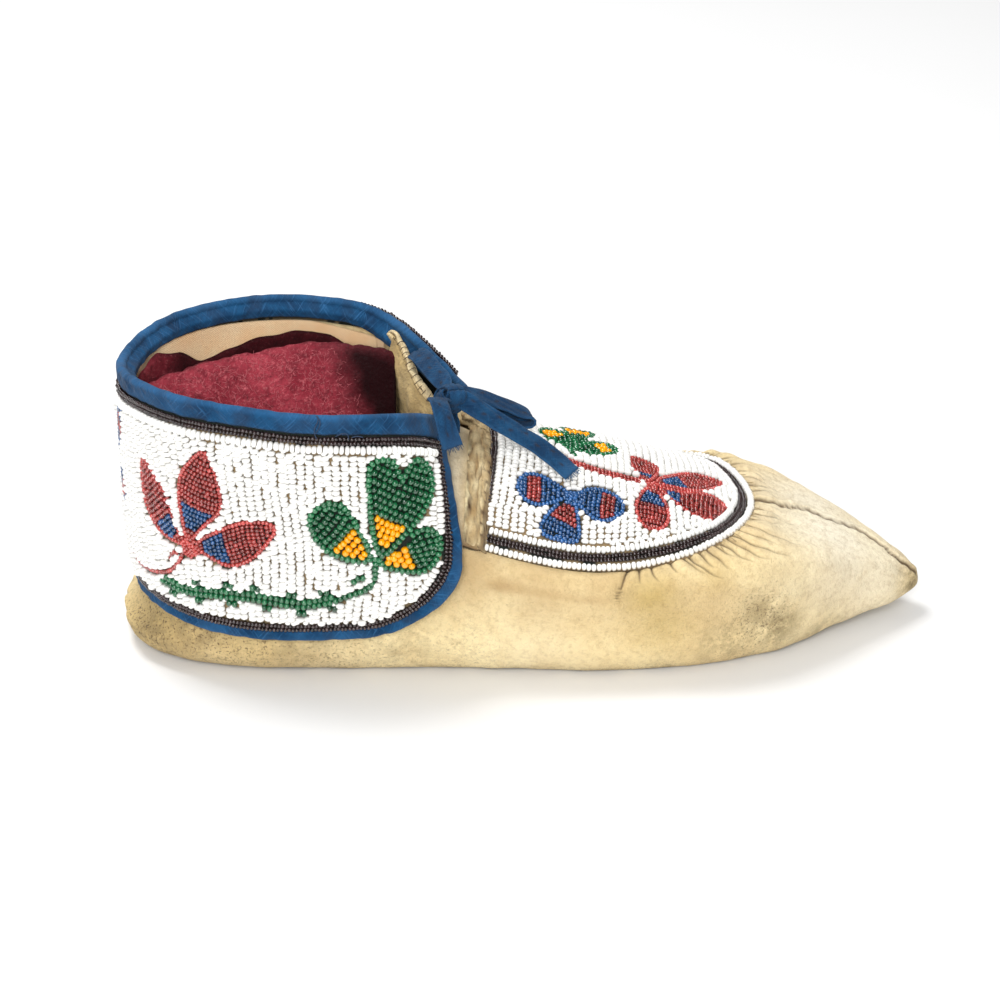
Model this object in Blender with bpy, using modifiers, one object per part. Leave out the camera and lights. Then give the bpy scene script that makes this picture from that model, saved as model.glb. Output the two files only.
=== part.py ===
"""Beaded hide moccasin with a hanging ankle cuff, bound in cotton tape and tied with ribbon.

One shoe, straight lasted. The toe points to +X, the sole lies on z = 0, near side is -Y.
The tables count from the back of the heel, and the origin is the middle of the footprint.
Every sheet piece is an open surface worked out from a short table of sections, and a
Solidify modifier gives it its wall.
"""
import bmesh
import bpy
import numpy as np

MM = 0.001

# ---- driving dimensions ------------------------------------------------------------------
HIDE_WALL = 2.0 * MM          # soft sole, sides and toe
ANKLE_WALL = 1.4 * MM         # hide strip round the ankle
VAMP_WALL = 1.8 * MM          # backed cloth under the beads of the instep
CUFF_WALL = 1.4 * MM          # backed cloth under the beads of the ankle flap
TAPE_WALL = 0.6 * MM          # folded cotton tape
TAPE_LEG = 5.0 * MM           # how far the tape reaches over each face of the cuff
TAPE_EASE = 0.6 * MM          # air between tape and cuff
SEAM_GAP = 0.6 * MM           # ankle strip to its neighbours, edge to edge
VAMP_INSET = 0.9 * MM         # vamp edge inside the gathered rim of the body
THROAT_ROW = 6.0              # rib at the back corner of the vamp
THROAT_BOW = 3.2 * MM         # how far the vamp's back edge bows forward over the instep
VAMP_CROWN = 2.3              # roundness of the vamp from side to side
CORNER_RADIUS = 30.0 * MM     # rounded lower front corners of the cuff
CORNER_DROP = 0.8             # level of the cuff where that rounding is measured
SOLE_SPINE = (36.0 * MM, 196.0 * MM)   # flat middle line of the sole, heel to toe
FRONT_TAPE_START = 0.14       # cuff drop where the hem tape starts, just under the rim tape
RIM_TAPE_END = 0.02           # cuff rows left bare at each end of the rim tape
ANKLE_REACH = 0.38            # how far the ankle strip keeps its slope from foot and top
RIBBON_WALL = 0.8 * MM
RIBBON_WIDTH = 6.0 * MM
KNOT_SIZE = (8.0 * MM, 7.0 * MM, 9.0 * MM)

# ---- mesh density ------------------------------------------------------------------------
BODY_RIBS = 64
WALL_STEPS = 8                # body, girth to rim
EDGE_STEPS = 5                # body, sole's edge to girth
FLOOR_STEPS = (0.7, 0.35, 0.0)         # body, shares of the way from the sole's middle line
VAMP_STEPS = (14, 13)
VAMP_CROWDING = 1.3           # vamp rows lie closer together at the tip
ANKLE_STEPS = (45, 7)
CUFF_STEPS = (22, 8)
CORNER_ROWS = (0.0, 0.1, 0.25, 0.45, 0.7, 1.0, 1.35, 1.8, 2.3)   # cuff rows at each front corner
CUFF_SIDE_START = 2.75        # first evenly spaced cuff row behind a corner
FRONT_STEPS = 6
RUN_STEPS = 281
RIDGE_STEPS = 200
KNOT_STEPS = (12, 8)

# ---- sections ----------------------------------------------------------------------------
# Body ribs from the toe tip round one side to the middle of the heel, in millimetres. The
# other side is their mirror image. A rib starts at the sole's edge, bulges at the girth and
# ends at the rim, which leans inwards by "lean" degrees. The reaches say how far the rib
# keeps its direction after the girth and before the rim.
BODY_COLUMNS = ("sole_x", "sole_y", "sole_z", "girth_x", "girth_y", "girth_z",
                "rim_x", "rim_y", "rim_z", "lean", "low_reach", "top_reach")
BODY_ROWS = (
    (227.5, 0.0, 5.3, 239.2, 0.0, 9.4, 189.5, 0.0, 37.8, 74, 0.30, 0.42),
    (221.0, 6.5, 3.9, 235.8, 5.3, 9.4, 187.2, 13.0, 38.9, 72, 0.34, 0.42),
    (209.0, 14.5, 1.9, 217.2, 16.8, 11.0, 180.4, 25.3, 39.4, 78, 0.48, 0.42),
    (193.0, 24.5, 0.3, 197.0, 30.0, 12.2, 168.0, 33.6, 36.9, 68, 0.58, 0.42),
    (172.0, 31.5, 0.0, 174.0, 39.0, 12.5, 150.0, 37.2, 33.7, 58, 0.62, 0.42),
    (148.0, 34.5, 0.0, 149.0, 42.5, 13.0, 128.0, 38.5, 35.0, 48, 0.62, 0.42),
    (124.0, 33.0, 0.0, 124.0, 42.5, 13.0, 105.0, 38.0, 41.0, 30, 0.62, 0.42),
    (100.0, 31.0, 0.0, 100.0, 41.0, 13.0, 90.0, 37.5, 44.5, 14, 0.60, 0.42),
    (76.0, 30.0, 0.0, 76.0, 40.5, 12.5, 73.0, 37.0, 45.0, 8, 0.55, 0.42),
    (52.0, 28.5, 0.0, 51.0, 40.0, 11.5, 50.0, 35.5, 44.5, 6, 0.45, 0.50),
    (29.0, 26.0, 0.0, 26.0, 37.0, 10.0, 30.0, 30.0, 43.5, 4, 0.20, 0.66),
    (12.0, 17.0, 0.0, 4.5, 24.5, 8.5, 16.0, 18.0, 43.0, 3, 0.06, 0.80),
    (5.0, 0.0, 0.4, -1.5, 0.0, 8.0, 9.5, 0.0, 42.5, 2, 0.02, 0.86),
)

# Ridge of the vamp from behind the throat to its tip, in millimetres.
RIDGE_COLUMNS = ("x", "z")
RIDGE_ROWS = ((98.0, 63.5), (110.0, 61.3), (125.0, 58.7), (145.0, 54.3), (162.0, 48.2),
              (176.0, 42.6), (189.5, 37.8))

# Cuff from the near front corner round the heel to the far front corner, in millimetres.
# Each row is a line down its outer face. "swell" is how far the middle of that line stands
# out from the foot, and "forward" how far it swings towards the toe.
CUFF_COLUMNS = ("top_x", "top_y", "top_z", "low_x", "low_y", "low_z", "swell", "forward")
CUFF_ROWS = (
    (93.5, -15.0, 73.0, 98.5, -46.0, 20.0, 10.5, 3.4),
    (87.5, -28.5, 80.5, 88.0, -45.0, 18.5, 6.5, 2.4),
    (74.0, -39.0, 85.0, 74.0, -44.5, 17.5, 3.0, 1.0),
    (55.5, -42.5, 86.5, 56.0, -43.5, 16.5, 0.8, 0.3),
    (38.0, -40.5, 88.0, 38.5, -42.0, 16.5, 0.6, 0.0),
    (19.5, -32.5, 88.0, 20.5, -35.5, 17.5, 0.8, 0.0),
    (5.5, -18.5, 87.0, 7.0, -21.5, 18.5, 1.2, 0.0),
    (-1.0, 0.0, 85.0, 1.5, 0.0, 17.5, 1.4, 0.0),
    (5.5, 18.5, 87.0, 7.0, 21.5, 18.5, 1.2, 0.0),
    (19.5, 32.5, 88.0, 20.5, 35.5, 17.5, 0.8, 0.0),
    (38.0, 40.5, 88.0, 38.5, 42.0, 16.5, 0.6, 0.0),
    (55.5, 42.5, 87.0, 56.0, 43.5, 16.5, 0.8, 0.3),
    (74.0, 39.0, 85.0, 74.0, 44.5, 17.5, 3.0, 1.0),
    (88.5, 28.5, 79.0, 88.0, 46.0, 18.5, 8.5, 2.4),
    (103.0, 17.0, 67.5, 99.0, 47.0, 20.0, 14.0, 3.4),
)

# Ankle strip from the near throat seam round the heel to the far throat seam. Each row rises
# from the body rib "seam" to its top point, and leans by these angles at its foot and top.
ANKLE_COLUMNS = ("seam", "top_x", "top_y", "top_z", "low_lean", "top_lean")
ANKLE_ROWS = (
    (6.0, 107.4, -1.4, 61.9, 26, 82),
    (6.3, 102.6, -2.6, 63.6, 24, 80),
    (6.6, 97.6, -5.0, 66.4, 20, 74),
    (6.9, 91.5, -11.0, 69.0, 16, 60),
    (7.2, 86.0, -21.0, 72.0, 12, 42),
    (7.6, 80.0, -31.5, 75.5, 8, 22),
    (8.0, 73.5, -38.0, 78.0, 3, 8),
    (8.8, 55.5, -41.0, 80.0, 3, 4),
    (9.55, 38.0, -38.8, 81.0, 3, 4),
    (10.4, 20.5, -31.0, 81.5, 5, 6),
    (11.25, 7.0, -17.5, 80.5, 8, 8),
    (12.0, 1.0, 0.0, 78.5, 10, 8),
    (12.75, 7.0, 17.5, 80.5, 8, 8),
    (13.6, 20.5, 31.0, 81.5, 5, 6),
    (14.45, 38.0, 38.8, 81.0, 3, 4),
    (15.2, 55.5, 41.0, 80.0, 3, 4),
    (16.0, 73.0, 38.0, 78.5, 3, 8),
    (16.4, 80.0, 30.5, 80.0, 8, 22),
    (16.8, 83.5, 22.0, 76.5, 12, 40),
    (17.1, 87.0, 13.5, 71.0, 16, 58),
    (17.4, 93.6, 5.5, 66.0, 20, 72),
    (17.7, 101.2, 2.8, 63.6, 24, 80),
    (18.0, 107.4, 1.4, 61.9, 26, 82),
)

# Ribbon centre lines in millimetres, each with the way its flat face looks at every point.
FAR_TIE = ((86.6, 22.6, 77.4), (87.8, 18.0, 78.6), (89.6, 12.4, 79.0), (91.8, 6.6, 78.6),
           (94.0, 1.2, 78.0), (95.3, -3.2, 77.5))
FAR_TIE_FACE = ((-0.2, -0.45, 0.85), (-0.2, -0.45, 0.85), (-0.2, -0.45, 0.85), (-0.25, -0.45, 0.85),
                (-0.3, -0.45, 0.8), (-0.35, -0.5, 0.75))
NEAR_TIE = ((96.0, -12.8, 67.6), (96.2, -12.0, 69.4), (96.4, -10.6, 70.6), (96.5, -9.0, 71.2))
NEAR_TIE_FACE = ((0.0, -0.9, 0.35), (0.0, -0.9, 0.4), (0.0, -0.8, 0.6), (0.0, -0.7, 0.7))
SHORT_END = ((93.8, -10.6, 77.4), (92.6, -13.8, 79.2), (92.4, -17.4, 80.6), (93.2, -21.4, 80.7),
             (94.2, -24.8, 78.0), (95.4, -27.2, 74.2), (96.6, -28.4, 70.4))
SHORT_END_FACE = ((-0.3, -0.2, 0.95), (-0.1, 0.0, 1.0), (0.2, -0.25, 0.95), (0.4, -0.6, 0.7),
                  (0.38, -0.75, 0.55), (0.3, -0.85, 0.45), (0.2, -0.92, 0.35))
BOW_LOOP = ((101.0, -4.8, 76.8), (105.5, -4.2, 75.2), (111.0, -3.8, 73.0), (116.5, -3.8, 70.6),
            (120.2, -4.2, 68.4), (119.6, -4.8, 66.8), (115.5, -5.0, 67.6), (109.5, -5.2, 69.6),
            (102.0, -5.6, 73.2))
BOW_LOOP_FACE = ((0.3, -0.3, 0.95), (0.35, -0.3, 0.9), (0.35, -0.25, 0.9), (0.45, -0.2, 0.85),
                 (1.0, 0.0, -0.1), (0.0, 0.25, -1.0), (-0.35, 0.25, -0.9), (-0.35, 0.25, -0.9),
                 (-0.4, 0.25, -0.9))
LONG_END = ((100.8, -9.8, 76.2), (105.2, -11.2, 73.8), (110.5, -12.2, 70.6), (116.0, -12.8, 67.2),
            (121.5, -13.6, 63.8), (127.0, -15.8, 60.2), (131.8, -18.8, 56.8))
LONG_END_FACE = ((0.2, -0.8, 0.55), (0.25, -0.78, 0.6), (0.3, -0.7, 0.65), (0.33, -0.62, 0.7),
                 (0.35, -0.6, 0.72), (0.35, -0.6, 0.72), (0.35, -0.6, 0.72))
KNOT_CENTRE = (96.5, -7.2, 76.0)

MIDDLE = (118.6, 1.7, 0.0)    # middle of the footprint in the tables' millimetres

# ---- colours: base colour, roughness -----------------------------------------------------
HIDE = ((0.70, 0.56, 0.34, 1.0), 0.85)
BEADWORK = ((0.80, 0.79, 0.75, 1.0), 0.35)
TAPE = ((0.03, 0.11, 0.27, 1.0), 0.9)

ORIGIN = np.array(MIDDLE) * MM
UP = np.array((0.0, 0.0, 1.0))
TOE_WARD = np.array((1.0, 0.0, 0.0))
BODY_LOOP = 2 * (len(BODY_ROWS) - 1)
CUFF_END = len(CUFF_ROWS) - 1
ANKLE_END = len(ANKLE_ROWS) - 1


# ---- smooth lines through the tables -----------------------------------------------------
def spline(values, closed):
    """A smooth function of the row number through a table column."""
    values = np.asarray(values, float)
    count = len(values)
    system = 4 * np.eye(count) + np.eye(count, k=1) + np.eye(count, k=-1)
    if closed:
        system[0, -1] = system[-1, 0] = 1
        change = np.roll(values, -1) - 2 * values + np.roll(values, 1)
    else:
        system[0] = np.eye(count)[0]
        system[-1] = np.eye(count)[-1]
        change = np.zeros(count)
        change[1:-1] = values[2:] - 2 * values[1:-1] + values[:-2]
    curve = np.linalg.solve(system, 6 * change)

    def at(row):
        row = np.asarray(row, float)
        row = row % count if closed else np.clip(row, 0, count - 1)
        first = np.floor(row).astype(int)
        if not closed:
            first = np.minimum(first, count - 2)
        after = row - first
        before = 1 - after
        second = (first + 1) % count
        return (before * values[first] + after * values[second]
                + (before ** 3 - before) * curve[first] / 6 + (after ** 3 - after) * curve[second] / 6)
    return at


def mirrored(column, sign):
    """One side's column continued round the other side to a closed loop."""
    return np.concatenate((sign * column, column[-2:0:-1]))


def read_table(columns, rows, closed=False):
    """Table columns as smooth functions: lengths in metres, angles in radians."""
    lines = {}
    for name, column in zip(columns, np.array(rows, float).T):
        if name[-2:] in ("_x", "_y", "_z") or name in ("x", "z", "swell", "forward"):
            column = column * MM
        if "lean" in name:
            column = np.radians(column)
        if closed:
            column = mirrored(column, -1 if name.endswith("_y") else 1)
        lines[name] = spline(column, closed)
    return lines


BODY = read_table(BODY_COLUMNS, BODY_ROWS, closed=True)
RIDGE = read_table(RIDGE_COLUMNS, RIDGE_ROWS)
CUFF = read_table(CUFF_COLUMNS, CUFF_ROWS)
ANKLE = read_table(ANKLE_COLUMNS, ANKLE_ROWS)


def place(table, name, row):
    return np.stack([table[name + axis](row) for axis in ("_x", "_y", "_z")], axis=-1)


def sole_edge(row):
    """Edge of the flat sole, never under the ground."""
    return np.maximum(place(BODY, "sole", row), (-np.inf, -np.inf, 0.0))


def unit(vector):
    return vector / np.maximum(np.linalg.norm(vector, axis=-1, keepdims=True), 1e-9)


def tilted(level, angle):
    """Upward direction tilted by an angle towards a level direction."""
    return level * np.sin(angle)[..., None] + UP * np.cos(angle)[..., None]


def bezier(start, start_handle, end_handle, end, along):
    along = along[..., None]
    back = 1 - along
    return (back ** 3 * start + 3 * back ** 2 * along * start_handle
            + 3 * back * along ** 2 * end_handle + along ** 3 * end)


# ---- surfaces ----------------------------------------------------------------------------
def rim_lean(row):
    """Direction of the body's wall where it reaches the rim: up, and inwards across the rim."""
    step = 0.01
    along = place(BODY, "rim", row + step) - place(BODY, "rim", row - step)
    inward = unit(np.stack((along[..., 1], -along[..., 0], 0 * row), axis=-1))
    return tilted(inward, BODY["lean"](row))


def body_point(row, rise):
    """Outer face of the body: rise 0 at the sole's edge, 1 at the girth, 2 at the rim."""
    sole, girth, rim = sole_edge(row), place(BODY, "girth", row), place(BODY, "rim", row)
    turn = np.clip(rise, 0, 1) * np.pi / 2
    rounding = np.stack((np.sin(turn), np.sin(turn), 1 - np.cos(turn)), axis=-1)
    climb = (rim - girth)[..., 2:3] * BODY["low_reach"](row)[..., None]
    reach = np.linalg.norm(rim - girth, axis=-1, keepdims=True) * BODY["top_reach"](row)[..., None]
    handle = rim - rim_lean(row) * reach
    wall = bezier(girth, girth + UP * climb, handle, rim, np.clip(rise - 1, 0, 1))
    return np.where((rise <= 1)[..., None], sole + (girth - sole) * rounding, wall)


def ridge_height(x):
    steps = np.linspace(0, len(RIDGE_ROWS) - 1, RIDGE_STEPS)
    return np.interp(x, RIDGE["x"](steps), RIDGE["z"](steps))


def vamp_point(row, across, inset=VAMP_INSET):
    """Outer face of the vamp: row 0 at its tip, across -1 near rim to 1 far rim."""
    rim = place(BODY, "rim", row)
    bow = THROAT_BOW * (row / THROAT_ROW) ** 2
    ridge = ridge_height(rim[..., 0] + bow)
    half = np.maximum(-rim[..., 1] - inset, 0)
    x = rim[..., 0] - inset * (1 - row / THROAT_ROW) + bow * (1 - across ** 2)
    z = rim[..., 2] + (ridge - rim[..., 2]) * (1 - np.abs(across) ** VAMP_CROWN)
    return np.stack((x, half * across, z), axis=-1)


def ankle_point(row, rise):
    """Outer face of the ankle strip: rise 0 at its foot, 1 at its top edge."""
    seam = ANKLE["seam"](row)
    throat = np.clip(1 - np.minimum(row, ANKLE_END - row), 0, 1)
    behind_vamp = np.stack((-2 * SEAM_GAP * throat, 0 * row, 0 * row), axis=-1)
    foot = place(BODY, "rim", seam) + rim_lean(seam) * SEAM_GAP + behind_vamp
    top = place(ANKLE, "top", row)
    level = unit((top - foot) * (1, 1, 0))
    length = np.linalg.norm(top - foot, axis=-1, keepdims=True)
    low = foot + tilted(level, ANKLE["low_lean"](row)) * length * ANKLE_REACH
    high = top - tilted(level, ANKLE["top_lean"](row)) * length * ANKLE_REACH
    return bezier(foot, low, high, top, rise)


def cuff_point(row, drop):
    """Outer face of the cuff: drop 0 at its top edge, 1 at the level of its hem."""
    top, low = place(CUFF, "top", row), place(CUFF, "low", row)
    step = 0.001
    ahead = np.minimum(row + step, CUFF_END)
    behind = np.maximum(row - step, 0)
    along = place(CUFF, "low", ahead) - place(CUFF, "low", behind)
    outward = unit(np.stack((-along[..., 1], along[..., 0], 0 * row), axis=-1))
    shift = outward * CUFF["swell"](row)[..., None] + TOE_WARD * CUFF["forward"](row)[..., None]
    return top + (low - top) * drop[..., None] + shift * (4 * drop * (1 - drop))[..., None]


def front_distance(row):
    """How far a cuff row is from the nearer front edge, measured along the cuff."""
    rows = np.linspace(0, CUFF_END, RUN_STEPS)
    middle = cuff_point(rows, np.full(rows.shape, CORNER_DROP))
    run = np.concatenate(((0.0,), np.cumsum(np.linalg.norm(np.diff(middle, axis=0), axis=1))))
    distance = np.interp(row, rows, run)
    return np.minimum(distance, run[-1] - distance)


def hem_drop(row):
    """Where the cuff ends: its hem, rounded up to the front edges."""
    height = np.linalg.norm(place(CUFF, "top", row) - place(CUFF, "low", row), axis=-1)
    short = np.clip(CORNER_RADIUS - front_distance(row), 0, CORNER_RADIUS)
    lift = CORNER_RADIUS - np.sqrt(CORNER_RADIUS ** 2 - short ** 2)
    return 1 - lift / height


# ---- Blender objects ---------------------------------------------------------------------
def clear_scene():
    for item in list(bpy.data.objects):
        bpy.data.objects.remove(item, do_unlink=True)


def material(name, look):
    colour, roughness = look
    made = bpy.data.materials.new(name)
    made.use_nodes = True
    shader = made.node_tree.nodes["Principled BSDF"]
    shader.inputs["Base Color"].default_value = colour
    shader.inputs["Roughness"].default_value = roughness
    shader.inputs["Metallic"].default_value = 0.0
    made.diffuse_color = colour
    return made


def sheet(name, grid, wall, look, offset=-1.0, closed=False):
    """A grid of outer points, rows by columns, as an open surface with a Solidify wall."""
    rows, columns = grid.shape[:2]
    last = columns if closed else columns - 1
    faces = []
    for row in range(rows - 1):
        for column in range(last):
            beside = (column + 1) % columns
            faces.append((row * columns + column, row * columns + beside,
                          (row + 1) * columns + beside, (row + 1) * columns + column))
    mesh = bpy.data.meshes.new(name)
    mesh.from_pydata((grid - ORIGIN).reshape(-1, 3).tolist(), [], faces)
    mesh.materials.append(material(name, look))
    mesh.shade_smooth()
    piece = bpy.data.objects.new(name, mesh)
    weld = piece.modifiers.new("Weld", "WELD")
    weld.merge_threshold = 0.00005
    solid = piece.modifiers.new("Wall", "SOLIDIFY")
    solid.thickness = wall
    solid.offset = offset
    solid.use_even_offset = True
    solid.use_quality_normals = True
    PARTS.objects.link(piece)
    return piece


# ---- the pieces --------------------------------------------------------------------------
def hide_body():
    """Soft sole, sides, heel and gathered toe in one piece of hide."""
    columns = np.linspace(0, BODY_LOOP, BODY_RIBS, endpoint=False)
    edge = sole_edge(columns)
    spine = edge * (1, 0, 0)
    spine[:, 0] = np.clip(spine[:, 0], *SOLE_SPINE)
    rises = np.concatenate((np.linspace(2, 1, WALL_STEPS), np.linspace(1, 0, EDGE_STEPS)[1:]))
    wall = [body_point(columns, np.full(columns.shape, rise)) for rise in rises]
    floor = [spine + (edge - spine) * step for step in FLOOR_STEPS]
    return sheet("hide_body", np.array(wall + floor), HIDE_WALL, HIDE, closed=True)


def vamp():
    """U-shaped beaded insert over the instep."""
    rows = THROAT_ROW * np.linspace(0, 1, VAMP_STEPS[0]) ** VAMP_CROWDING
    across = np.linspace(-1, 1, VAMP_STEPS[1])
    grid = vamp_point(*np.meshgrid(rows, across, indexing="ij"))
    return sheet("vamp", grid, VAMP_WALL, BEADWORK)


def ankle():
    """Hide strip from the body's rim up to the cuff's tape, open down the throat."""
    rows = np.linspace(0, ANKLE_END, ANKLE_STEPS[0])
    rises = np.linspace(1, 0, ANKLE_STEPS[1])
    rises, rows = np.meshgrid(rises, rows, indexing="ij")
    return sheet("ankle", ankle_point(rows, rises), ANKLE_WALL, HIDE)


def cuff_rows():
    """Cuff rows, closer together round its front corners."""
    near = np.array(CORNER_ROWS)
    sides = np.linspace(CUFF_SIDE_START, CUFF_END - CUFF_SIDE_START, CUFF_STEPS[0])
    return np.concatenate((near, sides, CUFF_END - near[::-1]))


def cuff():
    """Beaded ankle flap."""
    rows = cuff_rows()
    drops = np.linspace(0, 1, CUFF_STEPS[1])[:, None] * hem_drop(rows)
    grid = cuff_point(np.broadcast_to(rows, drops.shape), drops)
    return sheet("cuff", grid, CUFF_WALL, BEADWORK)


def tape(name, rows, drops, turn):
    """Folded tape over a stretch of the cuff's edge.

    The stretch is given in cuff rows and drops. Turn is 1 where the cuff's body lies to the
    left of travel on the outer face, else -1.
    """
    step = 0.002
    here = cuff_point(rows, drops)
    by_row = (cuff_point(np.minimum(rows + step, CUFF_END), drops)
              - cuff_point(np.maximum(rows - step, 0), drops))
    by_row /= (np.minimum(rows + step, CUFF_END) - np.maximum(rows - step, 0))[:, None]
    by_drop = (cuff_point(rows, drops + step) - cuff_point(rows, drops - step)) / (2 * step)
    normal = unit(np.cross(by_row, by_drop))
    travel = unit(np.gradient(here, axis=0))
    off_edge = unit(np.cross(normal, travel)) * turn
    outside = TAPE_EASE + TAPE_WALL / 2
    inside = CUFF_WALL + outside
    profile = ((TAPE_LEG, outside), (TAPE_LEG / 2, outside), (0.0, outside),
               (-outside, 0.0), (-outside, -CUFF_WALL), (0.0, -inside),
               (TAPE_LEG / 2, -inside), (TAPE_LEG, -inside))
    lines = []
    for depth, height in profile:
        target = -off_edge * max(depth, 0.0)
        shift = np.array([np.linalg.lstsq(np.stack((a, b), axis=1), t, rcond=None)[0]
                          for a, b, t in zip(by_row, by_drop, target)])
        on_cloth = cuff_point(rows + shift[:, 0], drops + shift[:, 1])
        lines.append(on_cloth + normal * height + off_edge * max(-depth, 0.0))
    return sheet(name, np.array(lines), TAPE_WALL, TAPE, offset=0.0)


def rim_binding():
    rows = np.clip(cuff_rows(), RIM_TAPE_END, CUFF_END - RIM_TAPE_END)
    return tape("rim_binding", rows, np.zeros(rows.shape), -1)


def hem_binding():
    """Tape down the near front edge, round the hem and up the far front edge."""
    side = np.linspace(FRONT_TAPE_START, hem_drop(np.array(0.0)), FRONT_STEPS)[:-1]
    rows = cuff_rows()
    path_rows = np.concatenate((0 * side, rows, 0 * side + CUFF_END))
    path_drops = np.concatenate((side, hem_drop(rows), side[::-1]))
    return tape("hem_binding", path_rows, path_drops, 1)


def ribbon(name, centre_line, faces):
    """A flat length of ribbon along a smooth line, its face turned as the rows say."""
    steps = np.linspace(0, len(centre_line) - 1, 3 * len(centre_line) - 2)
    line = np.stack([spline(axis, False)(steps) for axis in np.array(centre_line).T * MM], axis=1)
    face = unit(np.stack([spline(axis, False)(steps) for axis in np.array(faces).T], axis=1))
    travel = unit(np.gradient(line, axis=0))
    side = unit(np.cross(face, travel)) * RIBBON_WIDTH / 2
    return sheet(name, np.array((line - side, line, line + side)), RIBBON_WALL, TAPE, offset=0.0)


def tie_knot():
    """Rounded knot that holds both ties, the loop and both ends."""
    mesh = bpy.data.meshes.new("tie_knot")
    form = bmesh.new()
    bmesh.ops.create_uvsphere(form, u_segments=KNOT_STEPS[0], v_segments=KNOT_STEPS[1], radius=0.5)
    bmesh.ops.scale(form, vec=KNOT_SIZE, verts=form.verts)
    form.to_mesh(mesh)
    form.free()
    mesh.materials.append(material("tie_knot", TAPE))
    mesh.shade_smooth()
    knot = bpy.data.objects.new("tie_knot", mesh)
    knot.location = np.array(KNOT_CENTRE) * MM - ORIGIN
    PARTS.objects.link(knot)
    return knot


clear_scene()
PARTS = bpy.data.collections.new("moccasin")
bpy.context.scene.collection.children.link(PARTS)
hide_body()
vamp()
ankle()
cuff()
rim_binding()
hem_binding()
tie_knot()
ribbon("far_tie", FAR_TIE, FAR_TIE_FACE)
ribbon("near_tie", NEAR_TIE, NEAR_TIE_FACE)
ribbon("bow_loop", BOW_LOOP, BOW_LOOP_FACE)
ribbon("long_end", LONG_END, LONG_END_FACE)
ribbon("short_end", SHORT_END, SHORT_END_FACE)
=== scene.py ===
"""Looks of the beaded hide moccasin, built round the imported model.

The tables count millimetres from the back of the heel, as in the part's own source: the toe
points to +X, the sole lies on z = 0, the near side is -Y. Every finished mesh is shifted so
that the origin is the middle of the footprint.
"""

import bmesh
import bpy
import numpy as np
from mathutils import Matrix, Vector
from mathutils.kdtree import KDTree


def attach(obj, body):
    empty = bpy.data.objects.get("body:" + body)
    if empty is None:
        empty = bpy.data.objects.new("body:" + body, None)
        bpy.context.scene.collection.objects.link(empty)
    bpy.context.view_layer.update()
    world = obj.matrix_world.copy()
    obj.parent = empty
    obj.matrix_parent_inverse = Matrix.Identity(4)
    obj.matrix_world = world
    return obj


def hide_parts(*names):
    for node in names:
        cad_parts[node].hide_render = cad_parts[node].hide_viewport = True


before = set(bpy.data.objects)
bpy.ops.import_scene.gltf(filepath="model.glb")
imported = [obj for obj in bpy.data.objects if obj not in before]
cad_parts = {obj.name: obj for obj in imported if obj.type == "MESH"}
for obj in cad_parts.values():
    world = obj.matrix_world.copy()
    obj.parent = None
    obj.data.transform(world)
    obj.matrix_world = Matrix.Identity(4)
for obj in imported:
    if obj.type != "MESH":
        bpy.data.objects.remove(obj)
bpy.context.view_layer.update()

MM = 0.001
RANDOM = np.random.default_rng(11)

# ---- walls and edges of the model --------------------------------------------------------
# Rows are places along the tables further down. The names "rise", "drop", "across" are shares
# of a section: up the body or the ankle strip, down the cuff, from side to side of the vamp.
HIDE_WALL = 2.0 * MM
ANKLE_WALL = 1.4 * MM
SEAM_GAP = 0.6 * MM            # between the body's rim and the foot of the ankle strip
VAMP_INSET = 0.9 * MM          # between the body's rim and the edge of the vamp
THROAT_ROW = 6.0               # body rib where the vamp ends and the throat begins
THROAT_BOW = 3.2 * MM          # how far the vamp's ridge runs on beyond that rib
VAMP_CROWN = 2.3               # how flat the vamp is across: a higher power is flatter
CORNER_RADIUS = 30.0 * MM      # rounding of the cuff's lower front corners
CORNER_DROP = 0.8              # height on the cuff at which that rounding is measured
SOLE_SPINE = (36.0 * MM, 196.0 * MM)
ANKLE_REACH = 0.38             # share of its height over which the ankle strip keeps its lean
RIBBON_WIDTH = 6.0 * MM
RIBBON_WALL = 0.8 * MM
RUN_STEPS = 281
RIDGE_STEPS = 200
RIPPLE_WAVES = 7

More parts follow.
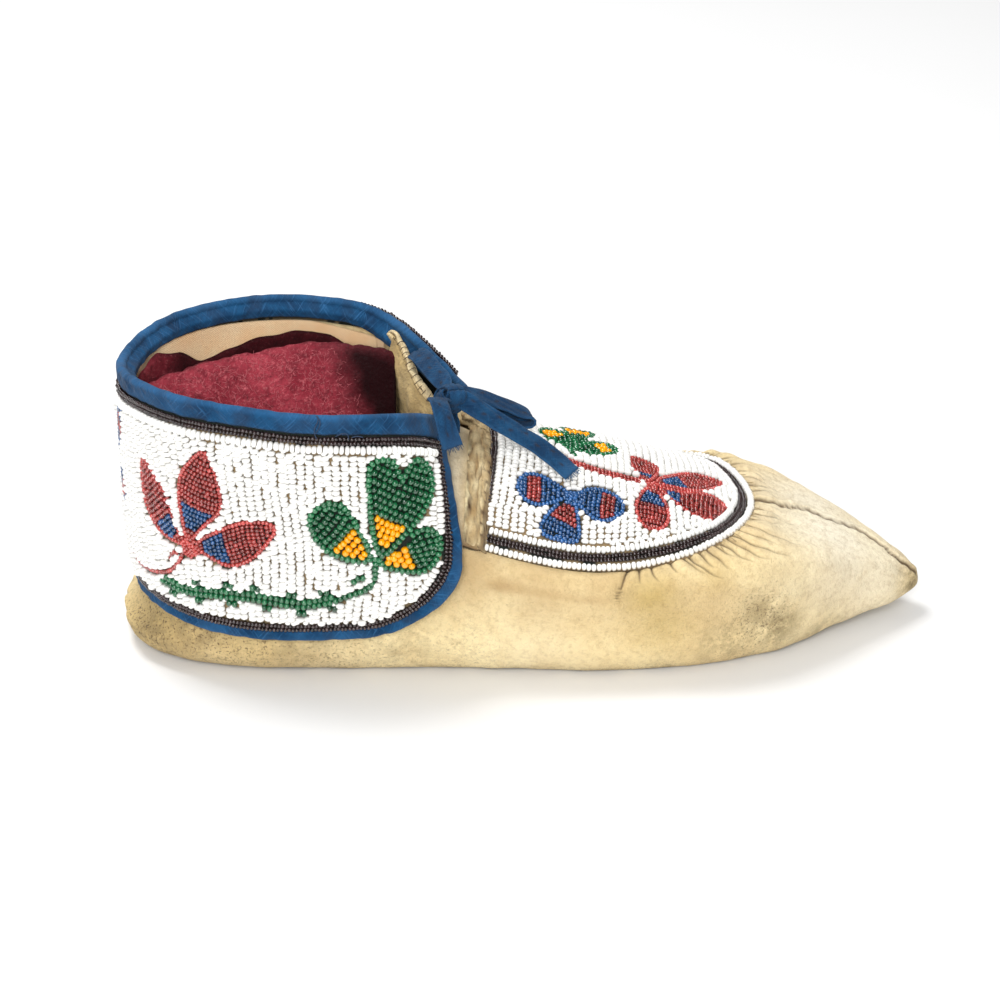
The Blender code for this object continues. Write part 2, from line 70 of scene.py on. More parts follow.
# ---- sections ----------------------------------------------------------------------------
# Body ribs from the toe tip round one side to the middle of the heel, in millimetres. The
# other side is their mirror image. A rib starts at the sole's edge, bulges at the girth and
# ends at the rim, which leans inwards by "lean" degrees. The reaches say how far the rib
# keeps its direction after the girth and before the rim.
BODY_COLUMNS = ("sole_x", "sole_y", "sole_z", "girth_x", "girth_y", "girth_z",
                "rim_x", "rim_y", "rim_z", "lean", "low_reach", "top_reach")
BODY_ROWS = (
    (227.5, 0.0, 5.3, 239.2, 0.0, 9.4, 189.5, 0.0, 37.8, 74, 0.30, 0.42),
    (221.0, 6.5, 3.9, 235.8, 5.3, 9.4, 187.2, 13.0, 38.9, 72, 0.34, 0.42),
    (209.0, 14.5, 1.9, 217.2, 16.8, 11.0, 180.4, 25.3, 39.4, 78, 0.48, 0.42),
    (193.0, 24.5, 0.3, 197.0, 30.0, 12.2, 168.0, 33.6, 36.9, 68, 0.58, 0.42),
    (172.0, 31.5, 0.0, 174.0, 39.0, 12.5, 150.0, 37.2, 33.7, 58, 0.62, 0.42),
    (148.0, 34.5, 0.0, 149.0, 42.5, 13.0, 128.0, 38.5, 35.0, 48, 0.62, 0.42),
    (124.0, 33.0, 0.0, 124.0, 42.5, 13.0, 105.0, 38.0, 41.0, 30, 0.62, 0.42),
    (100.0, 31.0, 0.0, 100.0, 41.0, 13.0, 90.0, 37.5, 44.5, 14, 0.60, 0.42),
    (76.0, 30.0, 0.0, 76.0, 40.5, 12.5, 73.0, 37.0, 45.0, 8, 0.55, 0.42),
    (52.0, 28.5, 0.0, 51.0, 40.0, 11.5, 50.0, 35.5, 44.5, 6, 0.45, 0.50),
    (29.0, 26.0, 0.0, 26.0, 37.0, 10.0, 30.0, 30.0, 43.5, 4, 0.20, 0.66),
    (12.0, 17.0, 0.0, 4.5, 24.5, 8.5, 16.0, 18.0, 43.0, 3, 0.06, 0.80),
    (5.0, 0.0, 0.4, -1.5, 0.0, 8.0, 9.5, 0.0, 42.5, 2, 0.02, 0.86),
)

# Ridge of the vamp from behind the throat to its tip, in millimetres.
RIDGE_COLUMNS = ("x", "z")
RIDGE_ROWS = ((98.0, 63.5), (110.0, 61.3), (125.0, 58.7), (145.0, 54.3), (162.0, 48.2),
              (176.0, 42.6), (189.5, 37.8))

# Cuff from the near front corner round the heel to the far front corner, in millimetres.
# Each row is a line down its outer face. "swell" is how far the middle of that line stands
# out from the foot, and "forward" how far it swings towards the toe.
CUFF_COLUMNS = ("top_x", "top_y", "top_z", "low_x", "low_y", "low_z", "swell", "forward")
CUFF_ROWS = (
    (93.5, -15.0, 73.0, 98.5, -46.0, 20.0, 10.5, 3.4),
    (87.5, -28.5, 80.5, 88.0, -45.0, 18.5, 6.5, 2.4),
    (74.0, -39.0, 85.0, 74.0, -44.5, 17.5, 3.0, 1.0),
    (55.5, -42.5, 86.5, 56.0, -43.5, 16.5, 0.8, 0.3),
    (38.0, -40.5, 88.0, 38.5, -42.0, 16.5, 0.6, 0.0),
    (19.5, -32.5, 88.0, 20.5, -35.5, 17.5, 0.8, 0.0),
    (5.5, -18.5, 87.0, 7.0, -21.5, 18.5, 1.2, 0.0),
    (-1.0, 0.0, 85.0, 1.5, 0.0, 17.5, 1.4, 0.0),
    (5.5, 18.5, 87.0, 7.0, 21.5, 18.5, 1.2, 0.0),
    (19.5, 32.5, 88.0, 20.5, 35.5, 17.5, 0.8, 0.0),
    (38.0, 40.5, 88.0, 38.5, 42.0, 16.5, 0.6, 0.0),
    (55.5, 42.5, 87.0, 56.0, 43.5, 16.5, 0.8, 0.3),
    (74.0, 39.0, 85.0, 74.0, 44.5, 17.5, 3.0, 1.0),
    (88.5, 28.5, 79.0, 88.0, 46.0, 18.5, 8.5, 2.4),
    (103.0, 17.0, 67.5, 99.0, 47.0, 20.0, 14.0, 3.4),
)

# Ankle strip from the near throat seam round the heel to the far throat seam. Each row rises
# from the body rib "seam" to its top point, and leans by these angles at its foot and top.
ANKLE_COLUMNS = ("seam", "top_x", "top_y", "top_z", "low_lean", "top_lean")
ANKLE_ROWS = (
    (6.0, 107.4, -1.4, 61.9, 26, 82),
    (6.3, 102.6, -2.6, 63.6, 24, 80),
    (6.6, 97.6, -5.0, 66.4, 20, 74),
    (6.9, 91.5, -11.0, 69.0, 16, 60),
    (7.2, 86.0, -21.0, 72.0, 12, 42),
    (7.6, 80.0, -31.5, 75.5, 8, 22),
    (8.0, 73.5, -38.0, 78.0, 3, 8),
    (8.8, 55.5, -41.0, 80.0, 3, 4),
    (9.55, 38.0, -38.8, 81.0, 3, 4),
    (10.4, 20.5, -31.0, 81.5, 5, 6),
    (11.25, 7.0, -17.5, 80.5, 8, 8),
    (12.0, 1.0, 0.0, 78.5, 10, 8),
    (12.75, 7.0, 17.5, 80.5, 8, 8),
    (13.6, 20.5, 31.0, 81.5, 5, 6),
    (14.45, 38.0, 38.8, 81.0, 3, 4),
    (15.2, 55.5, 41.0, 80.0, 3, 4),
    (16.0, 73.0, 38.0, 78.5, 3, 8),
    (16.4, 80.0, 30.5, 80.0, 8, 22),
    (16.8, 83.5, 22.0, 76.5, 12, 40),
    (17.1, 87.0, 13.5, 71.0, 16, 58),
    (17.4, 93.6, 5.5, 66.0, 20, 72),
    (17.7, 101.2, 2.8, 63.6, 24, 80),
    (18.0, 107.4, 1.4, 61.9, 26, 82),
)

# Ribbon centre lines in millimetres, each with the way its flat face looks at every point.
FAR_TIE = ((86.6, 22.6, 77.4), (87.8, 18.0, 78.6), (89.6, 12.4, 79.0), (91.8, 6.6, 78.6),
           (94.0, 1.2, 78.0), (95.3, -3.2, 77.5))
FAR_TIE_FACE = ((-0.2, -0.45, 0.85), (-0.2, -0.45, 0.85), (-0.2, -0.45, 0.85), (-0.25, -0.45, 0.85),
                (-0.3, -0.45, 0.8), (-0.35, -0.5, 0.75))
NEAR_TIE = ((96.0, -12.8, 67.6), (96.2, -12.0, 69.4), (96.4, -10.6, 70.6), (96.5, -9.0, 71.2))
NEAR_TIE_FACE = ((0.0, -0.9, 0.35), (0.0, -0.9, 0.4), (0.0, -0.8, 0.6), (0.0, -0.7, 0.7))
SHORT_END = ((93.8, -10.6, 77.4), (92.6, -13.8, 79.2), (92.4, -17.4, 80.6), (93.2, -21.4, 80.7),
             (94.2, -24.8, 78.0), (95.4, -27.2, 74.2), (96.6, -28.4, 70.4))
SHORT_END_FACE = ((-0.3, -0.2, 0.95), (-0.1, 0.0, 1.0), (0.2, -0.25, 0.95), (0.4, -0.6, 0.7),
                  (0.38, -0.75, 0.55), (0.3, -0.85, 0.45), (0.2, -0.92, 0.35))
BOW_LOOP = ((101.0, -4.8, 76.8), (105.5, -4.2, 75.2), (111.0, -3.8, 73.0), (116.5, -3.8, 70.6),
            (120.2, -4.2, 68.4), (119.6, -4.8, 66.8), (115.5, -5.0, 67.6), (109.5, -5.2, 69.6),
            (102.0, -5.6, 73.2))
BOW_LOOP_FACE = ((0.3, -0.3, 0.95), (0.35, -0.3, 0.9), (0.35, -0.25, 0.9), (0.45, -0.2, 0.85),
                 (1.0, 0.0, -0.1), (0.0, 0.25, -1.0), (-0.35, 0.25, -0.9), (-0.35, 0.25, -0.9),
                 (-0.4, 0.25, -0.9))
LONG_END = ((100.8, -9.8, 76.2), (105.2, -11.2, 73.8), (110.5, -12.2, 70.6), (116.0, -12.8, 67.2),
            (121.5, -13.6, 63.8), (127.0, -15.8, 60.2), (131.8, -18.8, 56.8))
LONG_END_FACE = ((0.2, -0.8, 0.55), (0.25, -0.78, 0.6), (0.3, -0.7, 0.65), (0.33, -0.62, 0.7),
                 (0.35, -0.6, 0.72), (0.35, -0.6, 0.72), (0.35, -0.6, 0.72))
KNOT_CENTRE = (96.5, -7.2, 76.0)
KNOT_AXES = ((1.6, -2.4, 3.6), (0.8, -2.6, -1.6), (3.6, 1.0, -1.2))     # height, depth, width
KNOT_WALL = 0.7 * MM

MIDDLE = (118.6, 1.7, 0.0)    # middle of the footprint in the tables' millimetres

ORIGIN = np.array(MIDDLE) * MM
UP = np.array((0.0, 0.0, 1.0))
TOE_WARD = np.array((1.0, 0.0, 0.0))
BODY_LOOP = 2 * (len(BODY_ROWS) - 1)
CUFF_END = len(CUFF_ROWS) - 1
ANKLE_END = len(ANKLE_ROWS) - 1


# ---- smooth lines through the tables -----------------------------------------------------
def spline(values, closed):
    """A smooth function of the row number through a table column."""
    values = np.asarray(values, float)
    count = len(values)
    system = 4 * np.eye(count) + np.eye(count, k=1) + np.eye(count, k=-1)
    if closed:
        system[0, -1] = system[-1, 0] = 1
        change = np.roll(values, -1) - 2 * values + np.roll(values, 1)
    else:
        system[0] = np.eye(count)[0]
        system[-1] = np.eye(count)[-1]
        change = np.zeros(count)
        change[1:-1] = values[2:] - 2 * values[1:-1] + values[:-2]
    curve = np.linalg.solve(system, 6 * change)

    def at(row):
        row = np.asarray(row, float)
        row = row % count if closed else np.clip(row, 0, count - 1)
        first = np.floor(row).astype(int)
        if not closed:
            first = np.minimum(first, count - 2)
        after = row - first
        before = 1 - after
        second = (first + 1) % count
        return (before * values[first] + after * values[second]
                + (before ** 3 - before) * curve[first] / 6 + (after ** 3 - after) * curve[second] / 6)
    return at


def mirrored(column, sign):
    """One side's column continued round the other side to a closed loop."""
    return np.concatenate((sign * column, column[-2:0:-1]))


def read_table(columns, rows, closed=False):
    """Table columns as smooth functions: lengths in metres, angles in radians."""
    lines = {}
    for name, column in zip(columns, np.array(rows, float).T):
        if name[-2:] in ("_x", "_y", "_z") or name in ("x", "z", "swell", "forward"):
            column = column * MM
        if "lean" in name:
            column = np.radians(column)
        if closed:
            column = mirrored(column, -1 if name.endswith("_y") else 1)
        lines[name] = spline(column, closed)
    return lines


BODY = read_table(BODY_COLUMNS, BODY_ROWS, closed=True)
RIDGE = read_table(RIDGE_COLUMNS, RIDGE_ROWS)
CUFF = read_table(CUFF_COLUMNS, CUFF_ROWS)
ANKLE = read_table(ANKLE_COLUMNS, ANKLE_ROWS)


def place(table, name, row):
    return np.stack([table[name + axis](row) for axis in ("_x", "_y", "_z")], axis=-1)


def sole_edge(row):
    """Edge of the flat sole, never under the ground."""
    return np.maximum(place(BODY, "sole", row), (-np.inf, -np.inf, 0.0))


def unit(vector):
    return vector / np.maximum(np.linalg.norm(vector, axis=-1, keepdims=True), 1e-9)


def bounded(value):
    return np.clip(value, 0, 1)


def hump(value, centre, width):
    """1 where the value is at the centre, falling off softly on both sides."""
    return np.exp(-((value - centre) / width) ** 2)


def together(*values):
    """Values of different shapes as arrays of one shape."""
    return [np.array(value, float) for value in np.broadcast_arrays(*values)]


def tilted(level, angle):
    """Upward direction tilted by an angle towards a level direction."""
    return level * np.sin(angle)[..., None] + UP * np.cos(angle)[..., None]


def bezier(start, start_handle, end_handle, end, along):
    along = along[..., None]
    back = 1 - along
    return (back ** 3 * start + 3 * back ** 2 * along * start_handle
            + 3 * back * along ** 2 * end_handle + along ** 3 * end)


# ---- surfaces ----------------------------------------------------------------------------
def rim_lean(row):
    """Direction of the body's wall where it reaches the rim: up, and inwards across the rim."""
    step = 0.01
    along = place(BODY, "rim", row + step) - place(BODY, "rim", row - step)
    inward = unit(np.stack((along[..., 1], -along[..., 0], 0 * row), axis=-1))
    return tilted(inward, BODY["lean"](row))


def body_point(row, rise):
    """Outer face of the body: rise 0 at the sole's edge, 1 at the girth, 2 at the rim."""
    row, rise = together(row, rise)
    sole, girth, rim = sole_edge(row), place(BODY, "girth", row), place(BODY, "rim", row)
    turn = bounded(rise) * np.pi / 2
    rounding = np.stack((np.sin(turn), np.sin(turn), 1 - np.cos(turn)), axis=-1)
    climb = (rim - girth)[..., 2:3] * BODY["low_reach"](row)[..., None]
    reach = np.linalg.norm(rim - girth, axis=-1, keepdims=True) * BODY["top_reach"](row)[..., None]
    handle = rim - rim_lean(row) * reach
    wall = bezier(girth, girth + UP * climb, handle, rim, bounded(rise - 1))
    return np.where((rise <= 1)[..., None], sole + (girth - sole) * rounding, wall)


def ridge_height(x):
    steps = np.linspace(0, len(RIDGE_ROWS) - 1, RIDGE_STEPS)
    return np.interp(x, RIDGE["x"](steps), RIDGE["z"](steps))


def vamp_point(row, across):
    """Outer face of the vamp: row 0 at its tip, across -1 near rim to 1 far rim."""
    row, across = together(row, across)
    rim = place(BODY, "rim", row)
    bow = THROAT_BOW * (row / THROAT_ROW) ** 2
    ridge = ridge_height(rim[..., 0] + bow)
    half = np.maximum(-rim[..., 1] - VAMP_INSET, 0)
    x = rim[..., 0] - VAMP_INSET * (1 - row / THROAT_ROW) + bow * (1 - across ** 2)
    z = rim[..., 2] + (ridge - rim[..., 2]) * (1 - np.abs(across) ** VAMP_CROWN)
    return np.stack((x, half * across, z), axis=-1)


def ankle_point(row, rise):
    """Outer face of the ankle strip: rise 0 at its foot, 1 at its top edge."""
    row, rise = together(row, rise)
    seam = ANKLE["seam"](row)
    throat = bounded(1 - np.minimum(row, ANKLE_END - row))
    behind_vamp = np.stack((-2 * SEAM_GAP * throat, 0 * row, 0 * row), axis=-1)
    foot = place(BODY, "rim", seam) + rim_lean(seam) * SEAM_GAP + behind_vamp
    top = place(ANKLE, "top", row)
    level = unit((top - foot) * (1, 1, 0))
    length = np.linalg.norm(top - foot, axis=-1, keepdims=True)
    low = foot + tilted(level, ANKLE["low_lean"](row)) * length * ANKLE_REACH
    high = top - tilted(level, ANKLE["top_lean"](row)) * length * ANKLE_REACH
    return bezier(foot, low, high, top, rise)


def cuff_point(row, drop):
    """Outer face of the cuff: drop 0 at its top edge, 1 at the level of its hem."""
    row, drop = together(row, drop)
    top, low = place(CUFF, "top", row), place(CUFF, "low", row)
    step = 0.001
    ahead = np.minimum(row + step, CUFF_END)
    behind = np.maximum(row - step, 0)
    along = place(CUFF, "low", ahead) - place(CUFF, "low", behind)
    outward = unit(np.stack((-along[..., 1], along[..., 0], 0 * row), axis=-1))
    shift = outward * CUFF["swell"](row)[..., None] + TOE_WARD * CUFF["forward"](row)[..., None]
    return top + (low - top) * drop[..., None] + shift * (4 * drop * (1 - drop))[..., None]


def front_distance(row):
    """How far a cuff row is from the nearer front edge, measured along the cuff."""
    rows = np.linspace(0, CUFF_END, RUN_STEPS)
    middle = cuff_point(rows, CORNER_DROP)
    run = np.concatenate(((0.0,), np.cumsum(np.linalg.norm(np.diff(middle, axis=0), axis=1))))
    distance = np.interp(row, rows, run)
    return np.minimum(distance, run[-1] - distance)


def hem_drop(row):
    """Where the cuff ends: its hem, rounded up to the front edges."""
    height = np.linalg.norm(place(CUFF, "top", row) - place(CUFF, "low", row), axis=-1)
    short = np.clip(CORNER_RADIUS - front_distance(row), 0, CORNER_RADIUS)
    lift = CORNER_RADIUS - np.sqrt(CORNER_RADIUS ** 2 - short ** 2)
    return 1 - lift / height


# ---- camera ------------------------------------------------------------------------------
CAMERA_DOWN, CAMERA_YAW, CAMERA_ROLL = np.radians((27.51, 2.636, 0.488))
CAMERA_DISTANCE = 900 * MM
CAMERA_AIM = (111.4, -1.3, 39.2)     # in the tables' millimetres
CAMERA_LENS = 108


def add_camera():
    """Seen from the near side, a little above and a little from the heel."""
    flat = np.cos(CAMERA_DOWN)
    forward = np.array((np.sin(CAMERA_YAW) * flat, np.cos(CAMERA_YAW) * flat, -np.sin(CAMERA_DOWN)))
    level = unit(np.cross(forward, UP))
    right = np.cos(CAMERA_ROLL) * level + np.sin(CAMERA_ROLL) * np.cross(level, forward)
    lens = bpy.data.cameras.new("camera")
    lens.lens = CAMERA_LENS
    lens.sensor_width = 36
    lens.clip_start = 0.01
    camera = bpy.data.objects.new("camera", lens)
    facing = Matrix((right, np.cross(right, forward), -forward)).transposed().to_4x4()
    facing.translation = Vector(np.array(CAMERA_AIM) * MM - ORIGIN - forward * CAMERA_DISTANCE)
    camera.matrix_world = facing
    bpy.context.scene.collection.objects.link(camera)
    bpy.context.scene.camera = camera


# ---- meshes ------------------------------------------------------------------------------
def new_piece(name, points, faces, look, slot, uv=None, **values):
    """A mesh object from arrays. Values are named numbers kept on its points."""
    mesh = bpy.data.meshes.new(name)
    faces = np.asarray(faces, np.int32)
    used, faces = np.unique(faces, return_inverse=True)
    faces = faces.reshape(-1, 4) if faces.size % 4 == 0 else faces.reshape(-1, 3)
    points = (points - ORIGIN)[used]
    mesh.vertices.add(len(points))
    mesh.vertices.foreach_set("co", points.astype(np.float32).ravel())
    mesh.loops.add(faces.size)
    mesh.loops.foreach_set("vertex_index", faces.astype(np.int32).ravel())
    mesh.polygons.add(len(faces))
    mesh.polygons.foreach_set("loop_start", np.arange(0, faces.size, faces.shape[1], dtype=np.int32))
    mesh.update(calc_edges=True)
    if uv is not None:
        layer = mesh.uv_layers.new(name="UVMap")
        layer.data.foreach_set("uv", uv[used][faces.ravel()].astype(np.float32).ravel())
    for key, numbers in values.items():
        attribute = mesh.attributes.new(key, "FLOAT", "POINT")
        attribute.data.foreach_set("value", numbers[used].astype(np.float32).ravel())
    mesh.materials.append(look)
    mesh.shade_smooth()
    piece = bpy.data.objects.new(name, mesh)
    bpy.context.scene.collection.objects.link(piece)
    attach(piece, "root")
    return piece


def grid_faces(index):
    """Quads of a grid of point numbers."""
    corners = index[:-1, :-1], index[:-1, 1:], index[1:, 1:], index[1:, :-1]
    return np.stack(corners, axis=-1).reshape(-1, 4)


def lengths(grid, axis):
    """Distance travelled along one axis of a grid of points."""
    steps = np.linalg.norm(np.diff(grid, axis=axis), axis=-1)
    start = np.zeros_like(np.take(steps, [0], axis=axis))
    return np.cumsum(np.concatenate((start, steps), axis=axis), axis=axis)


def grid_normals(grid, closed=False):
    """Normals of a grid whose rows run down its outer face and columns along it."""
    down = np.gradient(grid, axis=0)
    along = np.gradient(grid, axis=1)
    if closed:
        along = np.roll(grid, -1, axis=1) - np.roll(grid, 1, axis=1)
    return unit(np.cross(along, down))


def slab(name, middle, wall, look, slot, uv=None, **values):
    """A soft sheet with rounded edges, given by its middle surface and its thickness.

    Values are numbers kept on its points: one for the whole sheet or one for each point.
    """
    normal = grid_normals(middle)
    down, along = lengths(middle, 0), lengths(middle, 1)
    edge = np.minimum(down, down[-1:] - down)
    edge = np.minimum(edge, np.minimum(along, along[:, -1:] - along))
    half = wall / 2
    swell = half * np.sqrt(1 - (1 - bounded(edge / half)) ** 2)
    points = np.concatenate((middle + normal * swell[..., None], middle - normal * swell[..., None]))
    count = edge.size
    front = np.arange(count).reshape(edge.shape)
    back = np.where(edge <= 0, front, front + count)
    faces = np.concatenate((grid_faces(front), grid_faces(back)[:, ::-1]))
    plane = np.stack((along, down), axis=-1) if uv is None else uv
    plane = np.concatenate((plane.reshape(-1, 2), plane.reshape(-1, 2)))
    for key, numbers in values.items():
        values[key] = np.tile(np.broadcast_to(numbers, edge.shape).ravel(), 2)
    return new_piece(name, points.reshape(-1, 3), faces, look, slot, plane, **values)


def crowded(start, end, count, wall):
    """Steps from start to end, with a few close ones at both ends for a rounded edge."""
    near = np.array((0.0, 0.06, 0.22, 0.5, 1.0)) * wall / 2
    middle = np.linspace(start + near[-1], end - near[-1], count)
    return np.concatenate((start + near[:-1], middle, (end - near[:-1])[::-1]))


def tube(line, radius, sides=6):
    """Points and quads of a thread along a line of points."""
    travel = unit(np.gradient(line, axis=0))
    guide = np.where(np.abs(travel[:, 2:3]) < 0.9, UP, TOE_WARD)
    first = unit(np.cross(travel, guide))
    second = np.cross(travel, first)
    turn = np.arange(sides) * 2 * np.pi / sides
    outward = first[:, None] * np.cos(turn)[:, None] + second[:, None] * np.sin(turn)[:, None]
    ring = line[:, None] + radius * outward
    index = np.arange(len(line) * sides).reshape(len(line), sides)
    index = np.concatenate((index, index[:, :1]), axis=1)
    return ring.reshape(-1, 3), grid_faces(index)[:, ::-1]


def joined(parts):
    """Points and faces of many small forms as one."""
    points, faces, count = [], [], 0
    for some_points, some_faces in parts:
        points.append(some_points)
        faces.append(some_faces + count)
        count += len(some_points)
    return np.concatenate(points), np.concatenate(faces)


def read_at(places, run, line):
    """Points of a line at given places of the distance run along it."""
    return np.stack([np.interp(places, run, column) for column in line.T], axis=-1)


def even_steps(line, count):
    """The same line in evenly long steps."""
    run = lengths(line, 0)
    return read_at(np.linspace(0, run[-1], count), run, line)


def smooth_line(points, fine, closed=False):
    """A smooth line through a few points, read at fine steps of the point number."""
    return np.stack([spline(column, closed)(fine) for column in np.array(points, float).T], axis=-1)


def through(points, count, closed=False):
    """A smooth line through a few points, in evenly long steps."""
    last = len(points) if closed else len(points) - 1
    return even_steps(smooth_line(points, np.linspace(0, last, 40 * len(points) + 1), closed), count)


def ripple(places, size, seed):
    """Smooth unevenness between about -1 and 1, of a given size, the same on every run."""
    dice = np.random.default_rng(seed)
    total = np.zeros(places.shape[:-1])
    for _ in range(RIPPLE_WAVES):
        way = unit(dice.normal(size=places.shape[-1])) * 2 * np.pi / (size * dice.uniform(0.7, 1.5))
        total += np.sin(places @ way + dice.uniform(0, 2 * np.pi))
    return total / np.sqrt(RIPPLE_WAVES * 2)


def ripples(places, *waves):
    """The sum of several ripples, each given as its height, size in millimetres and seed."""
    return sum(height * ripple(places, size * MM, seed) for height, size, seed in waves)


def distance_to(places, line):
    """How far points are from a line of points, and where along it the nearest spot lies."""
    best = np.full(places.shape[:-1], np.inf)
    where = np.zeros(places.shape[:-1])
    for number, (start, end) in enumerate(zip(line[:-1], line[1:])):
        way = end - start
        share = bounded((places - start) @ way / max(way @ way, 1e-18))
        gap = np.linalg.norm(places - start - share[..., None] * way, axis=-1)
        closer = gap < best
        best = np.where(closer, gap, best)
        where = np.where(closer, (number + share) / (len(line) - 1), where)
    return best, where


# ---- materials ---------------------------------------------------------------------------
class Look:
    """A material under construction: a Principled shader and the nodes that feed it."""

    def __init__(self, name, roughness, **sockets):
        self.material = bpy.data.materials.new(name)
        self.material.use_nodes = True
        self.tree = self.material.node_tree
        self.shader = self.tree.nodes["Principled BSDF"]
        self.shader.inputs["Roughness"].default_value = roughness
        for socket, value in sockets.items():
            self.shader.inputs[socket.replace("_", " ")].default_value = value

    def node(self, kind, inputs=(), **settings):
        """A new node. Inputs are pairs of socket and either a number or another node's output."""
        made = self.tree.nodes.new(kind)
        for key, value in settings.items():
            setattr(made, key, value)
        for socket, value in inputs:
            if isinstance(value, bpy.types.NodeSocket):
                self.tree.links.new(value, made.inputs[socket])
            else:
                made.inputs[socket].default_value = value
        return made

    def place(self):
        return self.node("ShaderNodeTexCoord").outputs["Object"]

    def flat(self):
        return self.node("ShaderNodeTexCoord").outputs["UV"]

    def value(self, name):
        return self.node("ShaderNodeAttribute", attribute_name=name).outputs["Fac"]

    def stretched(self, vector, scale, turn=0.0):
        """The vector turned in its plane and then scaled."""
        if turn:
            turning = self.node("ShaderNodeMapping", (("Vector", vector),))
            turning.inputs["Rotation"].default_value = (0, 0, turn)
            vector = turning.outputs["Vector"]
        mapping = self.node("ShaderNodeMapping", (("Vector", vector),))
        mapping.inputs["Scale"].default_value = scale
        return mapping.outputs["Vector"]

    def noise(self, vector, scale, detail=3.0, rough=0.55):
        inputs = (("Vector", vector), ("Scale", scale), ("Detail", detail), ("Roughness", rough))
        return self.node("ShaderNodeTexNoise", inputs).outputs["Fac"]

    def wave(self, vector, scale, distortion=0.0):
        inputs = (("Vector", vector), ("Scale", scale), ("Distortion", distortion), ("Detail", 2.0),
                  ("Detail Scale", 1.5))
        return self.node("ShaderNodeTexWave", inputs).outputs["Fac"]

    def ramp(self, factor, low, high):
        """0 below low, 1 above high, smooth between."""
        made = self.node("ShaderNodeMapRange", (("Value", factor), ("From Min", low), ("From Max", high)),
                         interpolation_type="SMOOTHSTEP")
        return made.outputs["Result"]

    def math(self, operation, first, second=0.0):
        return self.node("ShaderNodeMath", ((0, first), (1, second)), operation=operation).outputs[0]

    def mix(self, factor, first, second):
        made = self.node("ShaderNodeMix", data_type="RGBA")
        for socket, value in ((0, factor), (6, first), (7, second)):
            if isinstance(value, bpy.types.NodeSocket):
                self.tree.links.new(value, made.inputs[socket])
            elif socket == 0:
                made.inputs[socket].default_value = value
            else:
                made.inputs[socket].default_value = (*value, 1.0)
        return made.outputs[2]

    def bump(self, height, distance, strength=1.0, under=None):
        inputs = (("Height", height), ("Distance", distance), ("Strength", strength))
        made = self.node("ShaderNodeBump", inputs)
        if under is not None:
            self.tree.links.new(under, made.inputs["Normal"])
        return made.outputs["Normal"]

    def mix_part(self, factor, share, first, second):
        """A mix whose factor is taken only in part."""
        return self.mix(self.math("MULTIPLY", factor, share), first, second)

    def finish(self, colour, normal=None):
        self.tree.links.new(colour, self.shader.inputs["Base Color"])
        if normal is not None:
            self.tree.links.new(normal, self.shader.inputs["Normal"])
        return self.material


HIDE_COLOURS = {
    "light": (1.0, 0.83, 0.475),
    "dark": (0.78, 0.575, 0.275),
    "tan": (0.50, 0.325, 0.145),
    "nap": (0.37, 0.215, 0.08),
    # painted light on the top of the toe and on the lit side of a fold by the throat; plain paler hide on
    # the turned edges and welts
    "pale": (0.95, 0.90, 0.76),
    "grain": (0.44, 0.29, 0.125),
    "stain": (0.52, 0.36, 0.11),
    # dirt, and painted shade under the tip of the toe, below the cuff and along the gathered edge
    "soil": (0.21, 0.15, 0.065),
    "scuffs": (0.22, 0.14, 0.05),
    "specks": (0.13, 0.08, 0.035),
    # painted shade: the colour laid into creases, folds, seam grooves and stitch holes
    "crease": (0.075, 0.038, 0.015),
}


def hide_look(name):
    """Smoked hide, napped and soft: mottled, soiled and stained, with painted shade in its creases, seams
    and under the tip of the toe, and painted light on the top of the toe.
    """
    look = Look(name, 0.92, Specular_IOR_Level=0.12, Sheen_Weight=0.10, Sheen_Roughness=0.6)
    place = look.place()
    broad = look.ramp(look.noise(place, 26, 4, 0.6), 0.38, 0.66)
    cloudy = look.ramp(look.noise(place, 95, 5, 0.7), 0.42, 0.68)
    fine = look.ramp(look.noise(place, 480, 5, 0.75), 0.45, 0.66)
    colour = look.mix_part(broad, 0.6, HIDE_COLOURS["light"], HIDE_COLOURS["dark"])
    colour = look.mix_part(cloudy, 0.40, colour, HIDE_COLOURS["dark"])
    # The pale value is in part painted light: the top of the toe and one side of a fold by the near throat.
    for mark in ("tan", "nap", "pale"):
        colour = look.mix(look.value(mark), colour, HIDE_COLOURS[mark])
    colour = look.mix_part(fine, 0.30, colour, HIDE_COLOURS["grain"])
    colour = look.mix(look.value("stain"), colour, HIDE_COLOURS["stain"])
    patchy = look.ramp(look.noise(place, 150, 5, 0.75), 0.34, 0.60)
    # Dirt and painted shade: this value also darkens where shade falls, under the toe's tip and by the
    # vamp.
    colour = look.mix_part(look.value("soil"), patchy, colour, HIDE_COLOURS["soil"])
    scuffs = look.ramp(look.noise(look.stretched(place, (1.0, 1.0, 1.6), 0.5), 620, 4, 0.7), 0.54, 0.66)
    scuffs = look.math("MULTIPLY", scuffs, look.value("specks"))
    colour = look.mix_part(scuffs, 0.75, colour, HIDE_COLOURS["scuffs"])
    specks = look.ramp(look.noise(place, 1300, 2, 0.6), 0.57, 0.65)
    colour = look.mix_part(specks, look.value("specks"), colour, HIDE_COLOURS["specks"])
    # Painted shade in creases, folds, seam grooves and stitch holes.
    colour = look.mix(look.value("crease"), colour, HIDE_COLOURS["crease"])
    nap = look.noise(look.stretched(place, (1.0, 1.0, 0.55)), 2300, 3, 0.7)
    grain = look.noise(place, 560, 5, 0.7)
    return look.finish(colour, look.bump(nap, 0.0005, 0.9, look.bump(grain, 0.0014, 0.8)))


